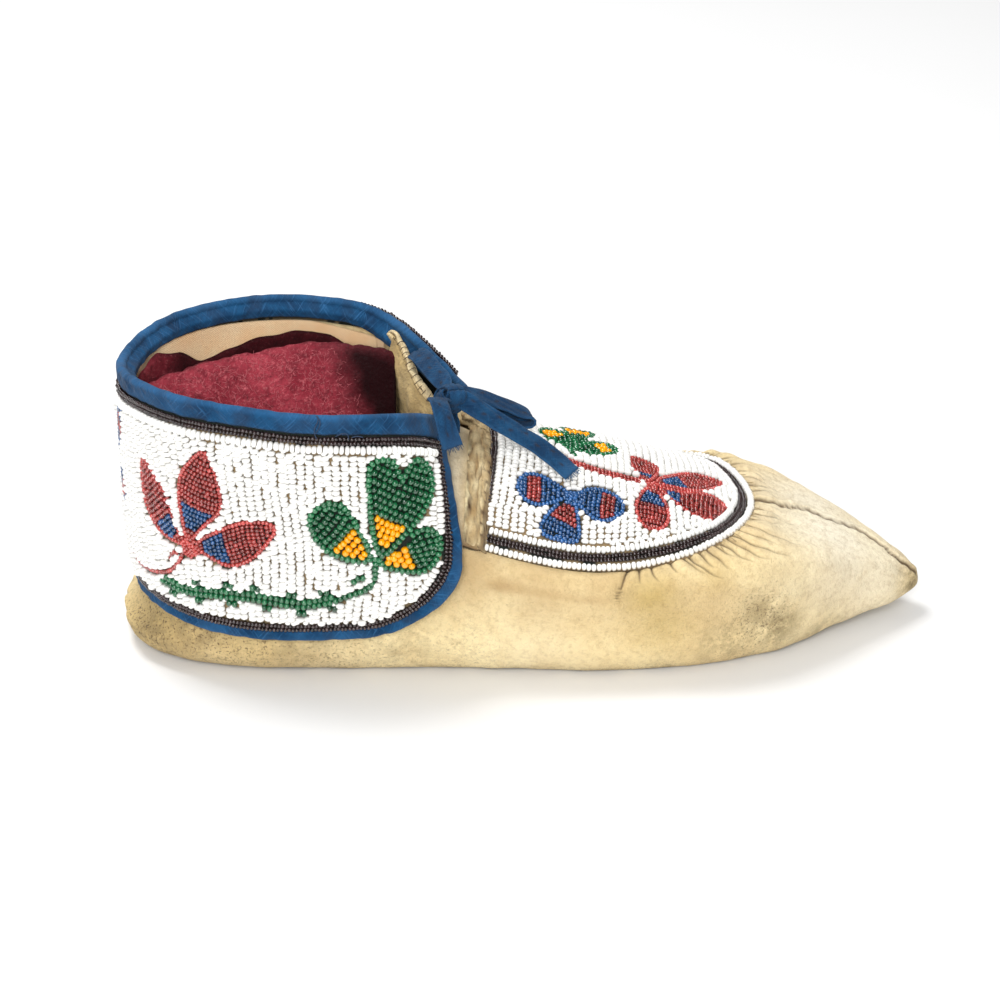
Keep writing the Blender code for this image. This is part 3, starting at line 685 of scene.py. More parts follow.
def bead_look(name, colour, roughness, coat, depth, gloss):
    """Glass seed beads: each lighter or darker than the next by up to the share "depth"."""
    look = Look(name, roughness, Specular_IOR_Level=gloss, Coat_Weight=coat, Coat_Roughness=0.07,
                Coat_IOR=1.9)
    light = tuple(min(1.0, channel * (1 + depth) + 0.02 * depth) for channel in colour)
    dark = tuple(channel * (1 - depth) for channel in colour)
    tint = look.mix(look.value("tone"), dark, light)
    streaks = look.noise(look.place(), 900, 2, 0.5)
    tint = look.mix_part(look.ramp(streaks, 0.5, 0.75), 0.25, tint, dark)
    return look.finish(tint, look.bump(streaks, 0.0001, 0.3))


CLOTH_SLANT = 0.785            # the tapes and ribbons are cut at 45 degrees to their threads


def cloth_look(name, colour, shade, thread, pale, wear):
    """Plain woven cotton cut on the slant, with some paler threads and rubbed high spots."""
    look = Look(name, 0.9, Specular_IOR_Level=0.15, Sheen_Weight=0.06)
    flat = look.flat()
    across = look.stretched(flat, (1.0, 0.05, 1.0), CLOTH_SLANT)
    along = look.stretched(flat, (1.0, 0.05, 1.0), CLOTH_SLANT + 1.571)
    first = look.noise(across, 1 / thread, 2, 0.5)
    second = look.noise(along, 1 / thread, 2, 0.5)
    weave = look.math("MAXIMUM", first, second)
    mottle = look.ramp(look.noise(look.place(), 170, 5, 0.65), 0.38, 0.66)
    tint = look.mix(mottle, shade, colour)
    lighter = tuple(channel * 1.8 + 0.022 for channel in colour)
    tint = look.mix_part(look.ramp(weave, 0.56, 0.72), pale, tint, lighter)
    tint = look.mix_part(look.value("worn"), wear, tint, lighter)
    tint = look.mix(look.value("soil"), tint, (0.02, 0.02, 0.03))
    pucker = look.noise(look.stretched(flat, (1.0, 0.5, 1.0), 0.5), 260, 3, 0.6)
    normal = look.bump(pucker, 0.0012, 0.5)
    return look.finish(tint, look.bump(look.math("ADD", first, second), 0.00035, 0.9, normal))


def wool_look():
    """Felted crimson wool with dark flecks among its tufts and paler curls, and painted shade down in the
    shoe where its shade value is high.
    """
    look = Look("crimson_wool", 0.95, Specular_IOR_Level=0.05, Sheen_Weight=0.03, Sheen_Roughness=0.5)
    place = look.place()
    curls = look.noise(look.stretched(place, (1.0, 0.6, 1.0), 0.4), 1000, 5, 0.8)
    tufts = look.noise(place, 330, 4, 0.7)
    clouds = look.ramp(look.noise(place, 75, 4, 0.6), 0.3, 0.7)
    colour = look.mix(clouds, (0.20, 0.016, 0.028), (0.36, 0.042, 0.062))
    colour = look.mix_part(look.ramp(tufts, 0.46, 0.66), 0.55, colour, (0.09, 0.008, 0.014))
    colour = look.mix_part(look.ramp(curls, 0.50, 0.70), 0.65, colour, (0.66, 0.17, 0.19))
    # Painted shade.
    colour = look.mix(look.value("shade"), colour, (0.012, 0.0008, 0.0016))
    normal = look.bump(tufts, 0.0016, 0.8)
    return look.finish(colour, look.bump(curls, 0.0010, 0.9, normal))


def canvas_look():
    """Unbleached twill, yellowed."""
    look = Look("canvas", 0.9, Sheen_Weight=0.1)
    flat = look.flat()
    ribs = look.wave(look.stretched(flat, (1.0, 1.0, 1.0), 0.6), 520, 1.0)
    threads = look.noise(flat, 1500, 3, 0.6)
    stain = look.ramp(look.noise(look.place(), 70, 4, 0.6), 0.35, 0.7)
    colour = look.mix(stain, (1.0, 0.75, 0.46), (0.97, 0.62, 0.33))
    colour = look.mix_part(look.ramp(ribs, 0.2, 0.9), 0.30, colour, (0.52, 0.36, 0.19))
    colour = look.mix_part(threads, 0.25, colour, (0.45, 0.31, 0.17))
    return look.finish(colour, look.bump(look.math("ADD", ribs, threads), 0.0003, 0.7))


def backing_look(light, dark, under_glass):
    """Plain cotton, with painted shade where coloured glass lies over it."""
    look = Look("backing_cloth", 0.85)
    strands = look.noise(look.place(), 2500, 2, 0.6)
    colour = look.mix(look.value("shade"), look.mix(strands, dark, light), under_glass)
    return look.finish(colour, look.bump(strands, 0.0002, 0.6))


def thread_look(name, light, dark):
    look = Look(name, 0.85)
    strands = look.noise(look.place(), 2500, 2, 0.6)
    return look.finish(look.mix(strands, dark, light), look.bump(strands, 0.0002, 0.6))


# ---- ties --------------------------------------------------------------------------------
# How the two ribbons pass through the knot between their free stretches, in millimetres.
FAR_IN_KNOT = ((97.0, -6.6, 77.0),)
FAR_IN_KNOT_FACE = ((-0.1, -0.7, 0.7),)
NEAR_IN_KNOT = ((97.2, -7.2, 73.6), (98.6, -5.4, 76.0))
NEAR_IN_KNOT_FACE = ((0.1, -0.8, 0.6), (0.25, -0.5, 0.85))
NEAR_OUT_OF_KNOT = ((98.4, -6.8, 75.0), (96.2, -8.6, 76.4))
NEAR_OUT_OF_KNOT_FACE = ((-0.4, 0.1, -0.9), (-0.9, -0.3, 0.3))
RIBBON_STEPS = 170
FRAY_THREADS = 26


def ribbon_frame(line, faces):
    """Centre line of a ribbon in even steps, the way its face looks and the way its width runs."""
    fine = np.linspace(0, len(line) - 1, 60 * len(line))
    route = smooth_line(np.array(line) * MM, fine)
    run = lengths(route, 0)
    even = np.linspace(0, run[-1], RIBBON_STEPS)
    facing = read_at(even, run, smooth_line(faces, fine))
    route = read_at(even, run, route)
    travel = unit(np.gradient(route, axis=0))
    side = unit(np.cross(facing, travel))
    return route, unit(np.cross(travel, side)), side, even


def ribbon(name, line, faces, pinch):
    """A folded cotton ribbon: slightly curled across, pinched where it enters the knot."""
    route, face, side, run = ribbon_frame(line, faces)
    squeeze = np.ones(RIBBON_STEPS)
    for spot, amount in pinch:
        squeeze -= amount * hump(run / MM, spot, 4.0)
    across = crowded(-RIBBON_WIDTH / 2, RIBBON_WIDTH / 2, 15, RIBBON_WALL)[:, None]
    places = np.stack((run / 9, run / 23), axis=-1)[None] + across[..., None] * 0.4
    folds = 0.25 * MM * ripple(places, 0.9 * MM, 3)
    curl = -0.35 * MM * (2 * across / RIBBON_WIDTH) ** 2
    gathers = (1 - squeeze) * 0.8 * MM * np.cos(across / RIBBON_WIDTH * 4 * np.pi)
    middle = (route + side * (across * squeeze)[..., None]
              + face * (curl + folds + gathers)[..., None])
    spread = np.abs(2 * across / RIBBON_WIDTH) + 0 * run
    worn = bounded(spread - 0.8) * 3 + bounded((run - run[-1]) / (6 * MM) + 1) * 0.7
    piece = slab(name, middle[:, ::-1], RIBBON_WALL, RIBBON_LOOK, "cotton_tape",
                 worn=bounded(worn)[:, ::-1], soil=prick_marks(run, across)[:, ::-1])
    return piece, route, side


def prick_marks(run, across):
    """Dark needle marks down a ribbon, where it was once stitched."""
    marks = np.zeros((len(across), len(run)))
    for number, spot in enumerate(np.arange(6 * MM, run[-1] - 3 * MM, 4.6 * MM)):
        lane = (1.1 if number % 2 else -0.5) * MM
        along = (run - spot - 0.5 * (across - lane)) / (0.75 * MM)
        marks = np.maximum(marks, np.exp(-along ** 2 - ((across - lane) / (0.38 * MM)) ** 2))
    return marks


def fray(name, route, side):
    """Loose threads at a ribbon's cut end."""
    ahead = unit(route[-1] - route[-3])
    dice = np.random.default_rng(5)
    threads = []
    for spot in np.linspace(-0.48, 0.48, FRAY_THREADS):
        start = route[-1] + side[-1] * spot * RIBBON_WIDTH - ahead * 0.8 * MM
        bend = dice.normal(size=3) * 0.35 * MM
        reach = dice.uniform(0.9, 2.3) * MM
        line = np.array([start, start + ahead * reach * 0.5 + bend * 0.3,
                         start + ahead * reach + bend + side[-1] * spot * 0.8 * MM])
        threads.append(tube(through(line, 6), 0.09 * MM, 4))
    points, faces = joined(threads)
    nothing = np.zeros(len(points))
    return new_piece(name, points, faces, RIBBON_LOOK, "cotton_tape", points[:, :2], worn=nothing + 0.6,
                     soil=nothing)


def tie(name, line, faces, pinch, replaced):
    """A ribbon with its frayed end; the imported parts that it replaces are hidden."""
    piece, route, side = ribbon(name, line, faces, pinch)
    threads = fray(name + "_fray", route, side)
    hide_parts(*replaced)
    length = lengths(route, 0)[-1]


def wrap(centre, first, second, width, seed):
    """One turn of ribbon round a knot: an oval band, pleated across."""
    angle = np.linspace(0, 2 * np.pi, 48)
    axis = unit(np.cross(first, second))
    across = crowded(-width / 2, width / 2, 9, KNOT_WALL)[:, None]
    pleat = 0.3 * MM * np.cos(across / width * 6 * np.pi + 0.5 * np.sin(2 * angle) + seed)
    size = 1 + 0.06 * np.sin(3 * angle + seed) - 0.5 * (2 * across / width) ** 2 * 0.3
    size = size + pleat / np.linalg.norm(first)
    oval = (np.cos(angle) * size)[..., None] * first + (np.sin(angle) * size)[..., None] * second
    return centre + oval + axis * across[..., None]


def bow_knot():
    """The knot: three pleated turns of ribbon drawn tight round its middle; the imported knot is hidden."""
    centre = np.array(KNOT_CENTRE) * MM
    height, depth, width = np.array(KNOT_AXES) * MM
    bands = (((0.6, 0, 0.4), height * 0.92, depth * 1.15, 5.4, 0.4),
             ((-0.4, 0.2, -0.4), height * 0.80 + width * 0.25, depth * 1.0 - width * 0.2, 6.6, 2.0),
             ((0, 0.3, -1.0), width * 0.95, depth * 1.05, 4.6, 3.1))
    for number, (shift, first, second, wide, seed) in enumerate(bands, 1):
        band = wrap(centre + np.array(shift) * MM, first, second, wide * MM, seed)
        marks = 0.5 * hump(lengths(band, 1) / MM, 5, 0.6)
        slab("bow_knot_%d" % number, band, KNOT_WALL, RIBBON_LOOK, "cotton_tape",
                           worn=0.15, soil=marks)
    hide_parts("tie_knot")


def ties():
    tie("tie_ribbon_far", FAR_TIE + FAR_IN_KNOT + LONG_END, FAR_TIE_FACE + FAR_IN_KNOT_FACE + LONG_END_FACE,
        ((29.0, 0.45),), ("far_tie", "long_end"))
    tie("tie_ribbon_near", NEAR_TIE + NEAR_IN_KNOT + BOW_LOOP + NEAR_OUT_OF_KNOT + SHORT_END,
        NEAR_TIE_FACE + NEAR_IN_KNOT_FACE + BOW_LOOP_FACE + NEAR_OUT_OF_KNOT_FACE + SHORT_END_FACE,
        ((8.0, 0.45), (60.0, 0.45)), ("near_tie", "bow_loop", "short_end"))
    bow_knot()


# ---- hide --------------------------------------------------------------------------------
# Gathers where the hide is drawn in round the vamp: place along the rim from the vamp's tip
# on the near side, length down the hide, depth and width, in millimetres, and how far they
# swing forward for each millimetre down.
GATHERS = (
    (64, 12.0, 1.0, 0.8, 0.9), (61, 3.5, 0.7, 0.6, 0.2), (57, 4.0, 0.8, 0.7, 0.0),
    (51, 3.0, 0.7, 0.6, -0.1), (47, 6.0, 0.9, 0.7, -0.4), (45, 9.5, 0.9, 0.7, -0.2),
    (42, 5.5, 1.0, 0.7, -0.1), (39, 8.0, 1.0, 0.8, 0.0), (36, 5.5, 1.0, 0.7, -0.1),
    (34, 10.0, 1.0, 0.8, 0.0), (31, 12.0, 1.1, 0.8, 0.0), (28.6, 16.0, 1.1, 0.9, -0.1),
    (25, 9.0, 1.0, 0.8, -0.1), (21, 15.0, 1.1, 0.9, -0.1), (16.5, 7.0, 0.9, 0.8, -0.6),
    (12, 11.0, 0.9, 0.9, -0.4), (8, 6.0, 0.8, 0.8, -0.2), (3.5, 5.0, 0.7, 0.8, 0.0),
)
# Soft dents and folds of the hide: points on it in millimetres, depth and width.
FOLDS = (
    (((190, -35, 33), (201, -29, 23), (213, -20, 12)), 0.9, 3.6),
    (((178, -39, 30), (186, -38, 22), (192, -34, 14)), 0.6, 4.5),
    (((150, -42, 30), (156, -44, 20), (160, -41, 9)), 0.5, 5.0),
    (((118, -42, 33), (140, -43, 29), (165, -42, 27)), 0.5, 4.0),
    (((206, -22, 30), (216, -18, 23), (225, -13, 14)), 0.5, 3.0),
    (((197, 8, 35), (205, 14, 31), (210, 20, 24)), 0.6, 3.0),
    (((193, 14, 37), (199, 20, 33), (203, 26, 26)), 0.5, 2.5),
    (((176, 39, 30), (188, 36, 20), (196, 30, 11)), 0.7, 4.0),
    (((140, 43, 30), (148, 44, 20), (156, 42, 10)), 0.6, 5.0),
    (((100, 41, 36), (120, 43, 30), (142, 43, 27)), 0.5, 4.0),
    (((231, -8, 18), (235, -5, 14), (238, -3, 10)), 0.7, 1.0),
    (((230, 7, 18), (234, 6, 13), (236, 4, 9)), 0.6, 1.2),
    (((60, -41, 12), (80, -42, 8), (100, -42, 6)), 0.4, 3.0),
    (((56, 41, 12), (82, 42, 9), (104, 42, 7)), 0.4, 3.0),
    (((0, -14, 16), (-1, -9, 9), (2, -8, 2)), 0.6, 2.0),
    (((0, 14, 16), (-1, 9, 9), (2, 8, 2)), 0.6, 2.0),
)
# Seams of the hide over the toe and down the heel, in millimetres.
TOE_SEAM = (
    (189, 0, 38), (196, 1, 36), (205, 3.5, 33), (211, 2.5, 30), (219, 3, 26), (224, 2.5, 23.5),
    (229, 0.5, 20.5), (233, -2.0, 18), (238, -0.5, 13),
)
HEEL_SEAM = ((9.5, 0, 42.5), (3, 0, 32), (-1.2, 0, 18), (-1.5, 0, 8), (3, 0, 1))
# Marks of wear: points in millimetres, reach and strength.
STAINS = (
    ((4, -24, 14), 26, 0.6), ((34, -40, 18), 20, 0.4), ((154, -43, 28), 8, 0.7),
    ((157, -43, 19), 9, 0.55), ((150, -43, 33), 5, 0.5), ((172, -38, 33), 5, 0.3),
    ((112, 42, 24), 10, 0.6), ((185, 34, 22), 8, 0.4),
)
# Darker patches, points in millimetres, reach and strength: dirt, with painted shade in those below the
# cuff at the heel, and painted shade alone in those under the tip of the toe.
SOILED_AND_SHADED = (
    ((187, -35, 18), 7, 0.6), ((193, -32, 12), 8, 0.75), ((183, -36, 12), 6, 0.5),
    ((207, -21, 4), 8, 0.5), ((237, -4, 11), 6, 0.9), ((176, -38, 9), 9, 0.5), ((146, -44, 30), 3, 0.4),
    ((20, -36, 14), 9, 0.7), ((8, -27, 9), 10, 0.75), ((30, -40, 24), 14, 0.55),
    ((52, -42, 14), 14, 0.4), ((80, -43, 9), 14, 0.3), ((198, 27, 12), 10, 0.7), ((30, 38, 8), 9, 0.6),
    ((234, 6, 9), 6, 0.6),
)
SPECKLED = (
    ((5, -22, 14), 22, 1.0), ((30, -38, 18), 22, 0.9), ((60, -42, 10), 24, 0.5),
    ((100, -43, 4), 20, 0.25), ((188, -34, 16), 12, 0.8), ((160, -42, 22), 14, 0.15),
    ((5, 22, 14), 22, 0.9), ((190, 30, 14), 20, 0.6),
)
TANNED = (
    ((100, -40, 38), 14, 0.8), ((120, -42, 33), 14, 0.55), ((140, -43, 31), 13, 0.5),
    ((163, -42, 28), 10, 0.4), ((172, -40, 24), 11, 0.4), ((46, -40, 12), 16, 0.35),
    ((110, 41, 36), 18, 0.6), ((150, 40, 30), 14, 0.4), ((214, -19, 20), 10, 0.25),
    ((12, -34, 14), 26, 0.7), ((50, -42, 10), 20, 0.4),
)
HIDE_ROWS = (70, 26)           # rim to girth, girth to sole's edge
HIDE_COLUMNS = ((236, 104), (130, 90))     # gathered and plain columns of the near and the far side
GATHERED = 68                  # length of the rim on each side that is drawn in, millimetres
# Paler patches of the hide: painted light on the top of the toe and on the far side beside it, and a faint
# paler patch low on the near side.
PALE_AND_LIT_PATCHES = (
    ((212, -6, 30), 24, 0.75), ((222, -6, 18), 20, 0.6), ((196, -20, 26), 16, 0.3),
    ((208, 10, 32), 20, 0.7), ((120, -43, 8), 16, 0.15),
)
VAMP_LIP = 1.3                       # how far the hide's edge rolls in over the vamp's edge


def hide_columns():
    """Body ribs of the outer face, much closer together round the gathered toe."""
    ribs = np.linspace(0, BODY_LOOP / 2, 1201)
    run = lengths(place(BODY, "rim", ribs), 0) / MM
    sides = []
    for gathered, plain in HIDE_COLUMNS:
        steps = np.concatenate((np.linspace(0, GATHERED, gathered),
                                np.linspace(GATHERED, run[-1], plain)[1:]))
        sides.append(np.interp(steps, run, ribs))
    return np.concatenate((sides[0], BODY_LOOP - sides[1][-2:0:-1]))


def spots(places, marks):
    """Strength of round soft marks at each point."""
    total = np.zeros(places.shape[:-1])
    for centre, reach, strength in marks:
        gap = np.linalg.norm(places - np.array(centre) * MM, axis=-1)
        total = np.maximum(total, strength * hump(gap, 0, reach * MM))
    return total


def gather_depth(along, down):
    """Depth of the cracks drawn in round the vamp, and the painted shade in them."""
    depth = np.zeros(along.shape)
    dark = np.zeros(along.shape)
    for side in (1, -1):
        for place, length, deep, width, swing in GATHERS:
            if side < 0:
                place, length = place + 1.3, length * 0.9
            lane = np.abs(side * along - place - swing * down - 0.25 * np.sin(down * 0.8 + place))
            fade = bounded(1 - down / (1.15 * length)) ** 0.6
            narrow = np.exp(-lane / (0.30 + 0.02 * down))
            wide = hump(lane, 0, width * 1.5)
            depth = np.maximum(depth, deep * fade * (0.7 * narrow + 0.6 * wide))
            dark = np.maximum(dark, fade * hump(lane, 0, 0.31))
    return depth, dark


def toe_seam(face):
    """Puckered seam over the toe: how far it lifts the hide, and the painted shade in the groove on its
    near side.
    """
    line = np.array(TOE_SEAM) * MM
    gap, share = distance_to(face, through(line, 40))
    gap /= MM
    near = face[..., 1] < np.interp(face[..., 0], *through(line, 60).T[:2])
    lift = 0.7 * hump(gap, 0, 1.0) - 0.75 * hump(gap, 1.5, 0.6) * near
    lift += 0.25 * hump(gap, 1.8, 1.6) * np.sin(share * 90) * hump(gap, 0, 4)
    return lift, 0.95 * hump(gap, 1.25, 0.38) * near


def heel_seam(face):
    """Butted seam down the heel: how far it lifts the hide, and the painted shade in its groove."""
    gap, share = distance_to(face, through(np.array(HEEL_SEAM) * MM, 30))
    gap /= MM
    lift = 0.35 * hump(gap, 1.6, 1.2) * (1 + 0.5 * np.sin(share * 75)) - 0.6 * hump(gap, 0, 0.5)
    return lift, 0.8 * hump(gap, 0, 0.4)


def hide_surface():
    """Outer face of the hide in full detail, with its creases and marks."""
    wall = 2 - np.linspace(0, 1, HIDE_ROWS[0]) ** 1.7
    edge = np.linspace(1, 0, HIDE_ROWS[1])[1:]
    rises, ribs = np.meshgrid(np.concatenate((wall, edge)), hide_columns(), indexing="ij")
    face = body_point(ribs, rises)
    normal = grid_normals(face, closed=True)
    down = lengths(face, 0) / MM
    around = np.linspace(0, BODY_LOOP, 2401)
    run = lengths(place(BODY, "rim", around), 0) / MM
    along = np.interp(ribs, around, run)
    along = np.where(along > run[-1] / 2, along - run[-1], along)
    drawn = bounded(1 - np.abs(along) / 72) ** 0.4       # 1 at the toe, 0 where the gathers end
    pleats, cracks = gather_depth(along, down)
    lift = -1.25 * pleats
    lift += drawn * 0.95 * hump(down, 3, 4.5)
    lift += 0.45 * ripple(face, 34 * MM, 1) * bounded(down / 8)
    lift += 0.20 * ripple(face, 10 * MM, 2) * bounded(down / 5)
    lift += 0.07 * ripple(face, 4 * MM, 3)
    stretch = np.stack((along * MM, down * MM * 0.22), axis=-1)
    for height, size, seed, reach in ((0.42, 3.6, 4, 13), (0.35, 9, 11, 30), (0.12, 1.5, 5, 4)):
        lift += drawn * height * ripple(stretch, size * MM, seed) * np.exp(-down / reach)
    lines = drawn * bounded(ripple(stretch, 1.9 * MM, 6)) * np.exp(-down / 5)
    # Painted shade in the cracks and fine lines round the toe, then in the folds and seams.
    crease = np.maximum(cracks * 0.95, 0.30 * lines)
    for line, deep, width in FOLDS:
        gap, share = distance_to(face, through(np.array(line) * MM, 12))
        trough = hump(gap, 0, width * MM) * np.sin(np.pi * np.clip(share, 0.12, 0.88)) ** 0.7
        lift -= deep * trough
        crease = np.maximum(crease, 0.16 * deep * trough / width)
    for seam in (toe_seam, heel_seam):
        raised, dark = seam(face)
        lift += raised
        crease = np.maximum(crease, dark)
    lift -= 0.3 * np.exp(-down / 0.5)
    level = face[..., 2] / MM
    lift *= bounded((level + 1.0) / 4.0)                 # the sole stays flat
    face = face + normal * (lift * MM)[..., None] + rim_roll(ribs, down)
    face[..., 2] = np.maximum(face[..., 2], 0.0)
    rough_edge = hump(level, 0, 2.6)
    # Dirt at the marked patches and along the sole's edge, with painted shade where that edge meets the
    # floor, under the toe's tip and along the gathered edge by the vamp.
    soil = np.maximum(spots(face, SOILED_AND_SHADED), 0.75 * rough_edge * (0.6 + 0.4 * ripple(face, 12 * MM, 8)))
    soil = np.maximum(soil, 0.35 * np.exp(-down / 1.2) * drawn)
    side = np.abs(along)
    band = hump(down, 10, 7.0) * bounded((side - 42) / 14) * bounded((150 - side) / 30)
    band *= 0.62 + 0.3 * ripple(face, 15 * MM, 9)
    toe_band = 0.45 * drawn * np.exp(-down / 9) * (0.7 + 0.5 * ripple(stretch, 6 * MM, 10))
    tan = np.maximum(spots(face, TANNED), np.maximum(band, toe_band))
    # Painted light, most of it on the top of the toe.
    pale = spots(face, PALE_AND_LIT_PATCHES)
    specks = 0.04 + 0.6 * rough_edge + spots(face, SPECKLED) - pale
    return face, {"crease": bounded(crease), "soil": bounded(soil), "stain": spots(face, STAINS),
                  "pale": pale * bounded(1.1 - soil), "tan": bounded(tan), "specks": bounded(specks)}


def rim_roll(ribs, down):
    """The gathered edge leans in over the edge of the vamp."""
    level = rim_lean(ribs) * (1, 1, 0)
    vamp = np.clip(THROAT_ROW + 0.15 - np.minimum(ribs, BODY_LOOP - ribs), 0, 0.15) / 0.15
    return unit(level) * (VAMP_LIP * MM * vamp * hump(down, 0, 1.5))[..., None]


def hide():
    """Sole, sides, heel and toe in one hide: a fine outer face, a plain inner one, a turned rim."""
    outer, values = hide_surface()
    ribs = hide_columns()
    edge = sole_edge(ribs)
    spine = edge * (1, 0, 0)
    spine[:, 0] = np.clip(spine[:, 0], *SOLE_SPINE)
    floor = spine + (edge - spine) * np.array((0.75, 0.4, 0.0))[:, None, None]
    rises = np.concatenate((np.linspace(2, 1, 8), np.linspace(1, 0, 6)[1:]))
    steps, across = np.meshgrid(rises, ribs, indexing="ij")
    inner = np.concatenate((body_point(across, steps), floor))
    inner = inner - grid_normals(inner, closed=True) * HIDE_WALL
    inner[0] += rim_roll(ribs, 0 * ribs)
    inner[-3:] = floor + UP * HIDE_WALL
    above = rim_lean(ribs) * 0.35 * MM
    rounding = outer[0] - 0.35 * HIDE_WALL * grid_normals(outer, closed=True)[0] + above
    inner_lip = inner[0] + 0.3 * (outer[0] - inner[0]) + above
    rows = np.concatenate((outer, floor, inner[::-1], inner_lip[None], rounding[None]))
    count, width = rows.shape[:2]
    index = np.arange(count * width).reshape(count, width)
    middle_out = len(outer) + len(floor) - 1
    index = np.concatenate((index, index[:, :1]), axis=1)
    index = np.concatenate((index, index[:1]), axis=0)
    faces = grid_faces(index).reshape(count, width, 4)
    faces = np.concatenate((faces[:middle_out], faces[middle_out + 1:])).reshape(-1, 4)
    padded_values = {}
    for key, numbers in values.items():
        lower = np.broadcast_to(numbers[-1], (count - len(outer), width)) * 0.6
        padded_values[key] = np.concatenate((numbers, lower)).ravel()
    piece = new_piece("hide", rows.reshape(-1, 3), faces, HIDE_LOOK, "hide", **padded_values)
    weld_spine(piece)
    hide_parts("hide_body")


def weld_spine(piece):
    """Closes the middle line of the sole, where points of both sides meet."""
    form = bmesh.new()
    form.from_mesh(piece.data)
    bmesh.ops.remove_doubles(form, verts=form.verts, dist=0.02 * MM)
    form.to_mesh(piece.data)
    form.free()


# ---- beaded panels -----------------------------------------------------------------------
CLOTH_FACE = -1.25 * MM        # backing cloth below the level of the bead tops' outline
CLOTH_WALL = 0.9 * MM
WHITE = (1.30, 1.54)           # bead radius and length along the thread, millimetres
VAMP_WHITE = (1.13, 1.46)
SQUEEZED = (0.92, 1.25)        # small white beads that fill up the corners
BROWN = (0.72, 1.10)
SMALL = (0.74, 1.14)           # rose and blue
GREEN = (1.06, 1.62)           # green and orange
SPACE = 2.48                   # white rows of the cuff, thread to thread
VAMP_SPACE = 2.18
FILLER_SHARE = 0.78            # how much of its radius a single bead keeps free of others
PRESS = 0.74                   # how close beads press together
HARD_PRESS = 0.68              # the same for the small white ones


def signed_gap(spots, outline):
    """Distance to a closed flat outline, negative inside it."""
    ends = np.roll(outline, -1, axis=0)
    gap = np.full(spots.shape[:-1], np.inf)
    inside = np.zeros(spots.shape[:-1], bool)
    for start, end in zip(outline, ends):
        way = end - start
        share = bounded((spots - start) @ way / max(way @ way, 1e-12))
        gap = np.minimum(gap, np.linalg.norm(spots - start - share[..., None] * way, axis=-1))
        crosses = (start[1] > spots[..., 1]) != (end[1] > spots[..., 1])
        at = start[0] + (spots[..., 1] - start[1]) * way[0] / (way[1] if way[1] else 1e-12)
        inside ^= crosses & (spots[..., 0] < at)
    return np.where(inside, -gap, gap)


def free_runs(line, free):
    """The stretches of a line that are free, as shorter lines."""
    edges = np.flatnonzero(np.diff(np.concatenate(([False], free, [False])).astype(int)))
    return [line[start:end] for start, end in zip(edges[::2], edges[1::2]) if end - start > 1]


